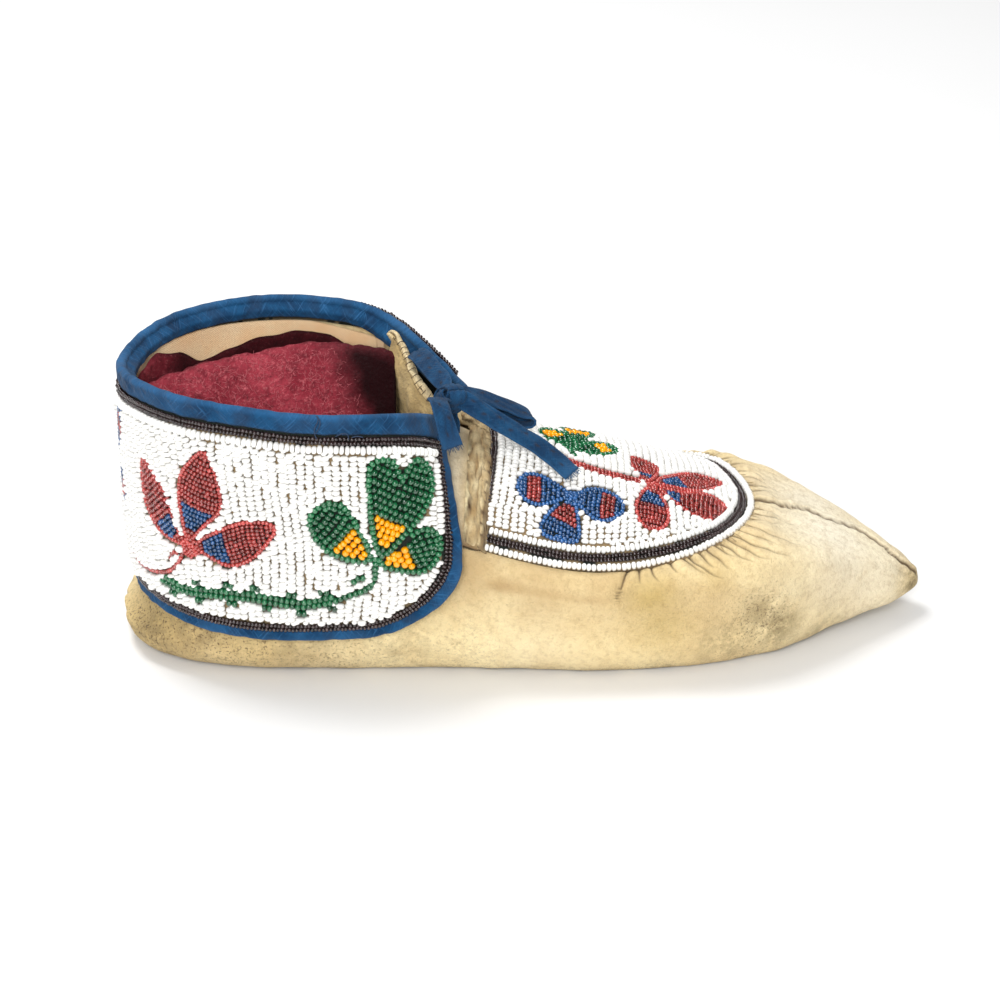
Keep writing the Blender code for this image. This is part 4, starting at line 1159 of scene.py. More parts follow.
class Panel:
    """A curved face with its own flat measure in millimetres, and the beads laid on it so far.

    Its functions also give it its edge as a flat line, the way inwards from there and, for the
    cuff, its length.
    """

    def __init__(self, name, first, second, points):
        self.name = name
        self.first, self.second = first, second
        self.points = points
        self.normals = unit(np.cross(np.gradient(points, axis=0), np.gradient(points, axis=1)))
        self.rows = {}         # beads by colour and, where a colour has two pieces, by side
        self.taken = []        # flat place and radius of the beads, one table for each string

    def read(self, grid, spots):
        """A grid of the face, read between its points."""
        a = (spots[..., 0] - self.first[0]) / (self.first[1] - self.first[0])
        b = (spots[..., 1] - self.second[0]) / (self.second[1] - self.second[0])
        i = np.clip(a.astype(int), 0, len(self.first) - 2)
        j = np.clip(b.astype(int), 0, len(self.second) - 2)
        a, b = (a - i)[..., None], (b - j)[..., None]
        return ((1 - a) * (1 - b) * grid[i, j] + a * (1 - b) * grid[i + 1, j]
                + (1 - a) * b * grid[i, j + 1] + a * b * grid[i + 1, j + 1])

    def lay(self, spots, lift=0.0):
        """Points on the face, raised by lift metres."""
        spots = np.asarray(spots, float)
        return self.read(self.points, spots) + self.up(spots) * np.asarray(lift)[..., None]

    def up(self, spots):
        return unit(self.read(self.normals, np.asarray(spots, float)))

    def string(self, key, line, size, lift=None, loose=0.05, motif=False, tone=0.5):
        """Beads threaded end to end along a flat line. The key names their colour and piece."""
        radius, pitch = size
        line = np.asarray(line, float)
        if len(line) < 2:
            return
        lift = CLOTH_FACE + radius * 0.86 * MM if lift is None else lift
        fine = even_steps(line, max(8, int(np.sum(np.linalg.norm(np.diff(line, axis=0), axis=1)) * 4)))
        laid = self.lay(fine, lift)
        run = lengths(laid, 0) / MM
        count = int(round(run[-1] / pitch))
        if count < 1:
            return
        step = run[-1] / count
        at = (np.arange(count) + 0.5) * step + RANDOM.normal(0, 0.03 * pitch, count)
        travel = read_at(at + 0.2, run, laid) - read_at(at - 0.2, run, laid)
        centres = read_at(at, run, laid)
        flat = read_at(at, run, fine)
        normals = self.up(flat)
        side = unit(np.cross(normals, travel))
        axes = unit(travel) + side * RANDOM.normal(0, loose, count)[:, None]
        axes += normals * RANDOM.normal(0, loose, count)[:, None]
        centres = centres + side * (RANDOM.normal(0, loose * 1.2, count) * MM * radius)[:, None]
        centres += normals * (RANDOM.normal(0, loose * 1.2, count) * MM * radius)[:, None]
        sizes = np.stack((radius * RANDOM.normal(1, 0.04, count),
                          np.minimum(step, pitch * 1.25) * RANDOM.normal(0.98, 0.05, count)), axis=-1)
        tones = RANDOM.normal(tone, 0.18, count)
        if motif and self.taken:
            others = np.concatenate(self.taken)
            gap = np.linalg.norm(flat[:, None] - others[None, :, :2], axis=-1)
            free = np.all(gap > PRESS * (radius + others[None, :, 2]), axis=1)
            kept = (item[free] for item in (centres, axes, normals, sizes, flat, tones))
            centres, axes, normals, sizes, flat, tones = kept
        if len(flat):
            self.taken.append(np.concatenate((flat, np.full((len(flat), 1), radius)), axis=1))
            self.rows.setdefault(key, []).append((centres, unit(axes), normals, sizes, tones))

    def clear_of(self, spots, leaves, margin=0.95):
        """Which spots are free of the charted shapes and of the beads laid so far."""
        free = np.ones(len(spots), bool)
        for leaf in leaves:
            low, high = leaf.min(axis=0) - 4, leaf.max(axis=0) + 4
            close = np.all((spots > low) & (spots < high), axis=1)
            if close.any():
                free[close] &= signed_gap(spots[close], leaf) > margin
        for laid in self.taken:
            low, high = laid[:, :2].min(axis=0) - 4, laid[:, :2].max(axis=0) + 4
            close = np.flatnonzero(np.all((spots > low) & (spots < high), axis=1))
            if len(close):
                gap = np.linalg.norm(spots[close, None] - laid[None, :, :2], axis=-1) - laid[None, :, 2]
                free[close] &= gap.min(axis=1) > margin - 0.75
        return free

    def fill_gaps(self, spots, size, key_of, tone=0.5, press=PRESS):
        """Single beads wherever the cloth would show between the rows."""
        laid = np.concatenate(self.taken)
        tree = KDTree(len(laid))
        for number, (x, y, _) in enumerate(laid):
            tree.insert((x, y, 0), number)
        tree.balance()
        reach = size[0] * FILLER_SHARE
        added = np.empty((0, 2))
        for spot in spots:
            close = tree.find_range((*spot, 0), 2.0)
            if any(gap < press * (laid[number, 2] + reach) for _, number, gap in close):
                continue
            if np.any(np.linalg.norm(added - spot, axis=1) < 1.55 * reach):
                continue
            added = np.concatenate((added, spot[None]))
            half = np.array((RANDOM.normal(0, 0.25), 1)) * size[1] / 2
            self.string(key_of(spot), (spot - half, spot + half), size, loose=0.12, tone=tone)

    def fill_twice(self, spots, size, key_of):
        """Fills gaps with beads of the ground's size, then what is left with small ones."""
        self.fill_gaps(spots, size, key_of)
        self.fill_gaps(spots, SQUEEZED, key_of, press=HARD_PRESS)

    def shade(self, grid):
        """Painted shade on the backing below the beads: 0 under white glass, 1 under coloured glass."""
        centres, depths = [], []
        for key, rows in self.rows.items():
            centres += [row[0] for row in rows]
            depths += [np.full(len(row[0]), 0.0 if "white" in key else 1.0) for row in rows]
        centres, depths = np.concatenate(centres), np.concatenate(depths)
        tree = KDTree(len(centres))
        for number, centre in enumerate(centres):
            tree.insert(centre, number)
        tree.balance()
        near = [depths[tree.find(spot)[1]] for spot in grid.reshape(-1, 3)]
        return np.array(near).reshape(grid.shape[:-1])


def cuff_panel():
    """The cuff, measured from its near front edge round the heel, and down from its rim."""
    rows = np.linspace(0, CUFF_END, 1401)
    middle = cuff_point(rows, 0.5)
    run = lengths(middle, 0) / MM
    first = np.linspace(0, run[-1], 340)
    at = np.interp(first, run, rows)
    height = np.linalg.norm(place(CUFF, "top", at) - place(CUFF, "low", at), axis=-1) / MM
    second = np.linspace(0, 72, 73)
    drops = second[None] / height[:, None]
    panel = Panel("cuff", first, second, cuff_point(at[:, None], drops))
    panel.length = run[-1]
    hem = hem_drop(at) * height
    near = np.linspace((0, 0), (0, hem[0]), 40)[:-1]
    far = np.linspace((run[-1], hem[-1]), (run[-1], 0), 40)[1:]
    edge = np.concatenate((near, np.stack((first, hem), axis=-1), far))
    panel.edge = even_steps(edge, 700)
    travel = unit(np.gradient(panel.edge, axis=0))
    panel.inward = np.stack((travel[:, 1], -travel[:, 0]), axis=-1)
    return panel


def vamp_panel():
    """The vamp, measured along its rim and across from its ridge, near side negative."""
    rows = np.linspace(0.02, THROAT_ROW, 260)
    across = np.linspace(-1, 1, 161)
    grid = vamp_point(rows[:, None], across)
    run = lengths(grid, 1) / MM
    run = run - run[:, 80:81]
    rim = place(BODY, "rim", rows)[:, 0] / MM
    second = np.linspace(-47, 47, 189)
    first = np.linspace(rim[-1], rim[0], 180)
    by_row = np.array([[np.interp(second, line, column) for column in points.T]
                       for line, points in zip(run, grid)]).transpose(0, 2, 1)
    order = np.argsort(rim)
    points = np.array([[np.interp(first, rim[order], by_row[order, j, k]) for k in range(3)]
                       for j in range(len(second))]).transpose(2, 0, 1)
    panel = Panel("vamp", first, second, points)
    edge_near = np.stack((rim, run[:, 0]), axis=-1)[::-1]
    edge_far = np.stack((rim, run[:, -1]), axis=-1)
    tip = np.linspace(edge_near[-1], edge_far[0], 12)[1:-1]
    panel.edge = even_steps(np.concatenate((edge_near, tip, edge_far)), 500)
    travel = unit(np.gradient(panel.edge, axis=0))
    panel.inward = np.stack((-travel[:, 1], travel[:, 0]), axis=-1)
    return panel


def inset(panel, depth):
    """The panel's sewn edge moved inwards, with the overlaps at tight turns dropped."""
    line = panel.edge + panel.inward * depth
    near = np.array([np.min(np.linalg.norm(panel.edge - spot, axis=-1)) for spot in line])
    return line[near > depth * 0.97]


# ---- beads -------------------------------------------------------------------------------
# Half outline of a bead: radius and place along the thread, as shares of its own size.
BEAD_PROFILE = ((0.66, 0.455), (1.0, 0.20), (1.0, -0.20), (0.66, -0.455))


def bead_meshes(name, rows, look, sides):
    """All beads of one piece as one mesh."""
    centres, axes, normals, sizes, tones = (np.concatenate(column) for column in zip(*rows))
    profile = np.array(BEAD_PROFILE)
    turn = np.arange(sides) * 2 * np.pi / sides
    third = np.cross(axes, normals)
    normals = np.cross(third, axes)
    out = normals[:, None] * np.cos(turn)[:, None] + unit(third)[:, None] * np.sin(turn)[:, None]
    radial = profile[None, :, None, 0, None] * out[:, None] * (sizes[:, 0] * MM)[:, None, None, None]
    along = profile[None, :, None, 1, None] * axes[:, None, None] * (sizes[:, 1] * MM)[:, None, None, None]
    points = centres[:, None, None] + radial + along
    ring = np.arange(len(profile) * sides).reshape(len(profile), sides)
    pairs = np.arange(sides // 2 - 1)
    cap = np.stack((pairs, pairs + 1, sides - 2 - pairs, sides - 1 - pairs), axis=-1)
    wall = grid_faces(np.concatenate((ring, ring[:, :1]), axis=1))[:, ::-1]
    faces = np.concatenate((wall, ring[0][cap], ring[-1][cap][:, ::-1]))
    each = len(profile) * sides
    faces = (faces[None] + (np.arange(len(centres)) * each)[:, None, None]).reshape(-1, 4)
    tone = np.repeat(bounded(tones), each)
    new_piece(name, points.reshape(-1, 3), faces, look, "beadwork", tone=tone)


# ---- motifs ------------------------------------------------------------------------------
EDGE_TONE, FILL_TONE = 0.74, 0.34
# Each leaf or petal: its colour, the colour of its accent, the stretch of its length that the
# accent takes, and its outline from base to tip and back. The edge is laid in lighter beads.
NEAR_CUFF_LEAVES = (
    ("rose", "blue", (0.12, 0.35), ((83, 44.5), (89.5, 44), (94.5, 41), (98, 36), (99.3, 29),
      (98.3, 22), (92.5, 26), (88, 32), (85.5, 39.5))),
    ("rose", "blue", (0.10, 0.36), ((80.8, 43), (82.7, 37.5), (83.6, 30), (82.4, 22.5), (79, 18),
      (74.4, 14.3), (71.2, 21), (70, 31), (75, 37))),
    ("rose", "blue", (0.07, 0.36), ((78.4, 44), (72, 39), (65, 35.3), (58.5, 33.8), (54, 35), (57, 41),
      (62, 46.5), (68.5, 49), (74.5, 47))),
    ("green", "orange", (0.07, 0.34), ((24.0, 40.4), (26.2, 31), (26.8, 18), (25.5, 12.8),
      (21.5, 11.6), (18.4, 13.6), (17.0, 17.6), (15.2, 14.0), (12.4, 11.3), (9.4, 11.9), (7.7, 15.6),
      (8.8, 21.0), (13.4, 28.6), (20.0, 37.4))),
    ("green", "orange", (0.05, 0.42), ((26.7, 41.5), (30, 33), (34, 26.4), (39, 25.6), (43.5, 29.5),
      (43.2, 35), (38.6, 40.8), (31.5, 43))),
    ("green", "orange", (0.04, 0.48), ((23.7, 42.5), (18.2, 36.6), (12, 30.8), (7.5, 30.5),
      (6.2, 34.5), (9, 41), (13.5, 44), (20, 44.3))),
)
LEAF_GAP = (((12.4, 25.6), (16.4, 29.6)), ((15.6, 30.6), (19.0, 34.2)))   # two white rows between leaves
LEAF_JOIN = ((15.9, 29.6), (17.9, 31.6))                                 # one green bead beside them
STEM_SECOND = 1.75             # the long stem's second string lies this far above its first, millimetres
LEAFY_STEM = (
    (25.4, 41), (25.3, 47), (27, 51.5), (31, 53.8), (37.5, 57), (44, 59.3), (50, 60.0), (57.5, 59.3),
    (66, 59.3), (75, 59.8), (84, 60.4), (93.3, 59.3),
)
NEAR_CUFF_STEMS = (
    ("rose", ((78.0, 45.2), (80.0, 45.0), (82.4, 46.4), (84.5, 50), (87, 53.4), (91, 56.3), (97, 57.9),
      (104, 58.5), (111, 57), (115.5, 52), (118.5, 45), (121, 38))),
    ("rose", ((88.8, 51.6), (87.5, 49), (85.3, 48.6))),
    ("rose", ((83.6, 45.6), (82.0, 44.4), (80.4, 46.8))),
    ("green", LEAFY_STEM),
    ("green", tuple((x, y - STEM_SECOND) for x, y in LEAFY_STEM[4:])),
    ("green", ((31.9, 50.8), (30.3, 48.6), (28.2, 48.8))),
)
LEAFLETS_ABOVE = (40.5, 49.8, 60.4, 68.6, 78.9)
LEAFLETS_BELOW = (38.0, 47.0, 57.2, 67.7, 78.3, 88.1)
HEEL_LEAVES = (
    ("blue", "rose", (0.55, 0.80), ((122.6, 26), (117, 24.5), (112.5, 19), (112, 12.5), (116.5, 11),
      (121, 15.5), (123, 21))),
    ("blue", "rose", (0.55, 0.80), ((122.4, 29), (116.5, 28.5), (111.5, 32), (111.5, 39),
      (116.5, 41.5), (120.5, 38.5), (122.6, 33))),
)
VAMP_LEAVES = (
    ("blue", "rose", (0.50, 0.80), ((129, -22.3), (125, -19.3), (121, -17.4), (116.5, -17.5),
      (113.9, -21.5), (116, -26), (120.5, -27.2), (125.5, -25.3))),
    ("blue", "rose", (0.50, 0.80), ((131.3, -22.8), (135, -19.7), (140, -18.7), (145, -20.7),
      (145.5, -25), (141.5, -28.5), (137.5, -28.8), (133.5, -26))),
    ("blue", "rose", (0.15, 0.55), ((130.5, -24), (125.4, -27), (121.5, -33), (122.5, -36.2),
      (127, -37.2), (132, -36.8), (132.5, -31))),
    ("rose", "blue", (0.12, 0.34), ((154, -10), (150.7, -7.5), (149.5, -3), (149.8, 0.6), (154, 1.2),
      (157.8, -0.8), (157.3, -5))),
    ("rose", "blue", (0.10, 0.34), ((157.5, -9), (161.5, -3.3), (166.3, 1.7), (171.6, 5), (176.5, 5.5),
      (179, 4), (175.2, -1.5), (168, -7.2))),
    ("rose", "blue", (0.10, 0.32), ((157.8, -11.8), (164, -10.3), (172, -6.8), (177, -8),
      (178.3, -12.8), (175, -18.5), (169, -19.4), (163, -16.3))),
    ("rose", "blue", (0.12, 0.38), ((155, -12.8), (151, -18), (150.2, -24), (152.5, -27.7),
      (157.5, -27.4), (160, -22), (158.5, -16))),
    ("green", "orange", (0.55, 0.95), ((131, -4.5), (127.5, -1.6), (123, 1.5), (121, 5.5), (124, 8.8),
      (128.5, 7), (132.2, 1.5))),
    ("green", "orange", (0.45, 0.80), ((132.7, -3.5), (133.8, 0.5), (137.4, 3), (142, 4.5), (145, 1.5),
      (141, -2.7), (136, -3.9))),
    ("green", "orange", (0.45, 0.80), ((132.6, 1.5), (129.8, 8), (128.5, 13), (131, 16.5),
      (135.5, 16.8), (138.6, 13), (136.5, 7))),
)
STEM_HALF = 0.72               # a stem on the vamp is two strings wide
VAMP_STEMS = (
    ("rose", ((152, -11.4), (146, -11.8), (138, -11.4), (132, -10), (126, -8.5), (121, -8))),
    ("green", ((131.5, -5), (130.5, -8))),
)
# Where the leaves of a flower meet: colour, place on the panel and reach, in millimetres.
VAMP_HUBS = (("rose", 156.2, -11.2, 3.4), ("blue", 130.7, -23.6, 2.6), ("green", 132.0, -1.6, 2.8),
             ("blue", 130.7, 23.6, 2.6))
CUFF_HUBS = (("rose", 80.6, 45.4, 3.2), ("green", 24.6, 42.2, 2.4))
FAR_BLUE_FLOWER = 3            # leaves of the vamp that are repeated on its far side
HEEL_OVERLAP = 5.2             # the two halves of the flower at the heel lie this much closer together


def end_for_end(points, length):
    """The same points counted from the panel's other end, or as they are where length is None."""
    return [(x if length is None else length - x, y) for x, y in points]


def turned(leaf, length):
    """The same leaf at the cuff's other end."""
    *kind, outline = leaf
    return (*kind, end_for_end(outline, length))


def bead_size(colour):
    return GREEN if colour in ("green", "orange") else SMALL


def leaf_line(outline):
    return through(outline, 90, closed=True)[:-1]


def fine_grid(low, high, step):
    """Flat points that fill a rectangle in even steps."""
    across, down = np.meshgrid(np.arange(low[0], high[0], step), np.arange(low[1], high[1], step))
    return np.stack((across.ravel(), down.ravel()), axis=-1)


def lay_leaf(panel, leaf):
    """Edge of a leaf as one string of beads, filled with strings across its length."""
    colour, accent, (accent_start, accent_end), outline = leaf
    line = leaf_line(outline)
    size = radius, pitch = bead_size(colour)
    closed = np.concatenate((line, line[:1]))
    panel.string(colour, closed, size, motif=True, tone=EDGE_TONE)
    base = np.array(outline[0], float)
    way = unit(line.mean(axis=0) - base)
    length = ((line - base) @ way).max()
    side = np.array((-way[1], way[0]))

    def key_of(spot):
        share = (spot - base) @ way / length
        return accent if accent_start <= share < accent_end else colour

    rows = np.arange(radius + radius * 0.8, length - radius * 0.9, 2 * radius * 0.98)
    across = np.arange(-30, 30, 0.15)
    for row in rows:
        strip = base + way * (row + 0.012 * across ** 2)[:, None] + side * across[:, None]
        room = signed_gap(strip, line) < -radius * 0.9
        for run in free_runs(strip, room):
            key = key_of(base + way * row)
            panel.string(key, run, size, motif=True, tone=FILL_TONE, loose=0.09)
    inside = fine_grid(line.min(axis=0), line.max(axis=0), 0.3)
    inside = inside[signed_gap(inside, line) < -radius * 0.9]
    panel.fill_gaps(inside, (radius * 0.9, pitch * 0.85), key_of, 0.45)


def lay_hubs(panel, hubs, length=None):
    """Beads that close the middle of each flower, from the middle outwards."""
    for colour, *middle, reach in hubs:
        disc = fine_grid((-reach, -reach), (reach, reach), 0.3)
        disc = disc[np.linalg.norm(disc, axis=1) < reach]
        disc = disc[np.argsort(np.linalg.norm(disc, axis=1))]
        radius, pitch = bead_size(colour)
        panel.fill_gaps(end_for_end([middle], length) + disc, (radius * 0.9, pitch * 0.85),
                  lambda spot: colour, EDGE_TONE)


def lay_leaflets(panel, spots, rise, length):
    """Pairs of beads that stand on the long green stem."""
    stem = through(LEAFY_STEM, 200)
    for spot in spots:
        level = np.interp(spot, stem[:, 0], stem[:, 1])
        height = level + rise * 1.95 * GREEN[0] - STEM_SECOND * (rise < 0)
        ends = end_for_end(((spot - 1.7, height), (spot + 1.7, height)), length)
        panel.string("green", ends, GREEN, motif=True, tone=FILL_TONE)


def cuff_motifs(panel):
    """Everything that is charted on the cuff. Returns the outlines of its leaves."""
    leaves = list(NEAR_CUFF_LEAVES) + [turned(leaf, panel.length) for leaf in NEAR_CUFF_LEAVES]
    leaves += list(HEEL_LEAVES) + [turned(leaf, panel.length - HEEL_OVERLAP) for leaf in HEEL_LEAVES]
    for leaf in leaves:
        lay_leaf(panel, leaf)
    for length in (None, panel.length):
        for colour, line in NEAR_CUFF_STEMS:
            row = through(end_for_end(line, length), 120)
            panel.string(colour, row, bead_size(colour), motif=True, tone=0.6)
    for length in (None, panel.length):
        lay_hubs(panel, CUFF_HUBS, length)
        white = "white_near" if length is None else "white_far"
        for ends in LEAF_GAP:
            panel.string(white, end_for_end(ends, length), SQUEEZED, motif=True)
        panel.string("green", end_for_end(LEAF_JOIN, length), GREEN, tone=EDGE_TONE)
        lay_leaflets(panel, LEAFLETS_ABOVE, -1, length)
        lay_leaflets(panel, LEAFLETS_BELOW, 1, length)
    return [leaf_line(leaf[-1]) for leaf in leaves]


def vamp_motifs(panel):
    """Everything that is charted on the vamp. Returns the outlines of its leaves."""
    leaves = list(VAMP_LEAVES)
    for *kind, outline in VAMP_LEAVES[:FAR_BLUE_FLOWER]:
        leaves.append((*kind, [(x, -y) for x, y in outline]))
    for leaf in leaves:
        lay_leaf(panel, leaf)
    for colour, line in VAMP_STEMS:
        for aside in (-STEM_HALF, STEM_HALF):
            row = through(line, 120) + (0, aside)
            panel.string(colour, row, bead_size(colour), motif=True, tone=0.6)
    lay_hubs(panel, VAMP_HUBS)
    return [leaf_line(leaf[-1]) for leaf in leaves]


def outside(spots, leaves):
    """The spots that lie clear of every leaf."""
    inside = np.zeros(len(spots), bool)
    for leaf in leaves:
        close = np.all((spots > leaf.min(axis=0)) & (spots < leaf.max(axis=0)), axis=1)
        inside[close] |= signed_gap(spots[close], leaf) < 0.3
    return spots[~inside]


# ---- white ground and borders ------------------------------------------------------------
RIM_BROWN = (5.7, 6.95)        # brown rows below the cuff's rim, millimetres
RIM_WHITE = 8.9
HEM_BROWN = (2.7, 3.95)        # brown rows from the cuff's other edges
FRONT_WHITE = 5.9
GROUND_LEAN = 0.17             # how far the white rows lean towards the toe at the heel


def cuff_side(panel):
    """Name of the piece that a white bead of the cuff belongs to."""
    return lambda spot: "white_near" if spot[0] < panel.length / 2 else "white_far"


def cuff_borders(panel, leaves):
    """Brown rows along every edge of the cuff, and a white row inside them."""
    for depth in HEM_BROWN:
        line = inset(panel, depth)
        panel.string("brown", line[line[:, 1] > RIM_BROWN[0]], BROWN, loose=0.08)
    for depth in RIM_BROWN:
        along = np.arange(HEM_BROWN[1] - 1.0, panel.length - HEM_BROWN[1] + 1.0, 1.0)
        panel.string("brown", np.stack((along, 0 * along + depth), axis=-1), BROWN, loose=0.08)
    low = np.arange(panel.length - 34, panel.length - 3, 1.0)
    for depth, lift in FAR_RIM_BROWN:
        line = np.stack((low, 0 * low + depth), axis=-1)
        panel.string("brown", line, BROWN, lift * MM, loose=0.1)
    along = np.arange(FRONT_WHITE - 0.6, panel.length - FRONT_WHITE + 0.6, 0.3)
    top = np.stack((along, 0 * along + RIM_WHITE), axis=-1)
    side = inset(panel, FRONT_WHITE)
    side = side[side[:, 1] > RIM_WHITE + 2.3]
    side = even_steps(side, len(side) * 3)
    ends = (side[:, 0] < 12) | (side[:, 0] > panel.length - 12)
    for line, kept in ((top, along > 0), (side, ends)):
        free = panel.clear_of(line, leaves, 1.0) & kept
        for run in free_runs(line, free):
            for near in (True, False):
                part = run[(run[:, 0] < panel.length / 2) == near]
                if len(part) > 1:
                    panel.string(cuff_side(panel)(part[0]), part, WHITE)


def cuff_ground(panel, leaves):
    """White rows from the rim to the hem, leaning and wavering, broken round the motifs."""
    low = inset(panel, HEM_BROWN[1] + 1.6)
    low = low[np.argsort(low[:, 0])]
    half = panel.length / 2
    dice = np.random.default_rng(21)
    for start in np.arange(-14.0, panel.length + 14, SPACE):       # rows that lean in from the ends too
        down = np.arange(RIM_WHITE + 1.7, 70, 0.25)
        toward = np.sign(half - start)
        share = bounded(1 - abs(start - half) / (half * 0.75))
        lean = -toward * GROUND_LEAN * share * bounded(abs(start - half) / 20)
        wobble = 0.6 * np.sin(down / 13 + start / 31) + 0.3 * np.sin(down / 5.3 + start / 17)
        wobble += dice.normal(0, 0.12) + 0.12 * np.sin(down / 3.1 + dice.uniform(0, 6))
        line = np.stack((start + lean * (down - 35) + wobble, down), axis=-1)
        floor = np.interp(line[:, 0], *low.T)
        within = (line[:, 1] < floor) & (line[:, 0] > FRONT_WHITE + 2.0)
        within &= line[:, 0] < panel.length - FRONT_WHITE - 2.0
        if not within.any():
            continue
        line = line[within]
        free = panel.clear_of(line, leaves)
        for run in free_runs(line, free):
            panel.string(cuff_side(panel)((start, 0)), run, WHITE, loose=0.09)
    spots = fine_grid((5, RIM_WHITE + 1.2), (panel.length - 5, 66), 0.5)
    edge = low[:, 0], low[:, 1] + 0.5
    spots = spots[(spots[:, 1] < np.interp(spots[:, 0], *edge)) & (spots[:, 0] > FRONT_WHITE - 0.5)
                  & (spots[:, 0] < panel.length - FRONT_WHITE + 0.5)]
    panel.fill_twice(outside(spots, leaves), WHITE, cuff_side(panel))


FAR_RIM_BROWN = ((0.7, 0.55), (1.9, 0.25))     # brown rows on the far rim: depth, lift over the face
VAMP_EDGE = 1.6                # outermost white row inside the vamp's edge
VAMP_BROWN = (3.8, 5.05)
VAMP_INNER = 6.9
THROAT_BROWN = (1.2, 2.45)     # brown rows in front of the throat edge
THROAT_HALF = 38.5             # half the throat's width


def throat_step(across):
    """The sewn throat edge runs back towards the heel at its sides, with a step by the near rim."""
    side = np.abs(across)
    back = -0.5 - 1.3 * bounded((side - 8) / 18)
    return back - 1.0 * bounded((side - 28.2) / 1.2) * (across < 0)


def vamp_borders(panel):
    """White and brown rows along the vamp's edge and in front of the throat."""
    first = panel.first[0]
    outer = inset(panel, VAMP_EDGE)
    panel.string("white", outer[(outer[:, 1] < 0) | (outer[:, 0] > first + 5)], VAMP_WHITE)
    for depth in VAMP_BROWN:
        line = inset(panel, depth)
        line = line[(line[:, 1] < 0) | (line[:, 0] > first + 2)]
        panel.string("brown", line, BROWN, loose=0.08)
    line = inset(panel, VAMP_INNER)
    clear = line[:, 0] > first + THROAT_BROWN[1] + 1.2 + throat_step(line[:, 1])
    panel.string("white", line[clear], VAMP_WHITE)
    for gap in THROAT_BROWN:
        across = np.arange(-37.5, 36.6, 0.5)
        row = np.stack((throat_step(across) + first + gap, across), axis=-1)
        panel.string("brown", row, BROWN, loose=0.08)


def vamp_ground(panel, leaves):
    """White rows across the instep, broken round the motifs."""
    line = inset(panel, VAMP_INNER + 1.5)
    near = line[line[:, 1] < 0]
    far = line[line[:, 1] > 0]
    near, far = near[np.argsort(near[:, 0])], far[np.argsort(far[:, 0])]
    start = panel.first[0] + THROAT_BROWN[1] + 1.75
    for middle in np.arange(start, 188, VAMP_SPACE):
        low, high = np.interp(middle, *near.T), np.interp(middle, *far.T)
        if middle > min(near[-1, 0], far[-1, 0]) or high - low < 3:
            continue
        across = np.arange(low, high, 0.25)
        wobble = 0.35 * np.sin(across / 9 + middle / 13) * bounded((middle - start) / 8)
        wobble += throat_step(across) * np.exp(-(middle - start) / 24)
        row = np.stack((middle + wobble, across), axis=-1)
        free = panel.clear_of(row, leaves)
        for run in free_runs(row, free):
            panel.string("white", run, VAMP_WHITE, loose=0.07)
    spots = fine_grid((start - 2, -36), (190, 36), 0.5)
    spots = spots[(spots[:, 1] > np.interp(spots[:, 0], *near.T) - 0.5)
                  & (spots[:, 1] < np.interp(spots[:, 0], *far.T) + 0.5)
                  & (spots[:, 0] > start + throat_step(spots[:, 1]) - 0.5)
                  & (spots[:, 0] < min(near[-1, 0], far[-1, 0]) + 0.6)]
    panel.fill_twice(outside(spots, leaves), VAMP_WHITE, lambda spot: "white")


def backing(panel, face):
    """The cloth that the beads are sewn to, under a panel's face."""
    middle = face + grid_normals(face) * (CLOTH_FACE - CLOTH_WALL / 2)
    # Painted shade under the coloured beads.
    shade = panel.shade(middle)
    cloth = slab(panel.name + "_cloth", middle, CLOTH_WALL, BACKING_LOOK, "beadwork", shade=shade)
    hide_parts(panel.name)


def beadwork(cuff, vamp):
    """Lays every bead and makes one piece of each colour."""
    leaves = cuff_motifs(cuff)
    cuff_borders(cuff, leaves)
    cuff_ground(cuff, leaves)
    vamp_borders(vamp)
    vamp_ground(vamp, vamp_motifs(vamp))
    for panel in (cuff, vamp):
        for key, rows in panel.rows.items():
            colour = key.split("_")[0]
            large = colour in ("white", "green", "orange")
            sides = 8 if large and key != "white_far" else 6
            bead_meshes("beads_%s_%s" % (panel.name, key), rows, BEAD_LOOKS[colour], sides)
    rows = np.linspace(0, CUFF_END, 220)
    backing(cuff, cuff_point(rows, crowded(0.0, 1.0, 28, 0.02)[:, None] * hem_drop(rows)))
    rows = THROAT_ROW * np.linspace(0.004, 1, 70) ** 1.3
    backing(vamp, vamp_point(rows[:, None], np.linspace(-1, 1, 51)))


# ---- tapes -------------------------------------------------------------------------------
TAPE_FOLD = 1.25               # radius of a tape's fold over the edge, millimetres
TAPE_BEHIND = 2.75             # the least that a tape's inner leg lies behind the face
LINING_STACK = 3.5             # ankle strip, canvas and slack behind the rim tape's inner leg


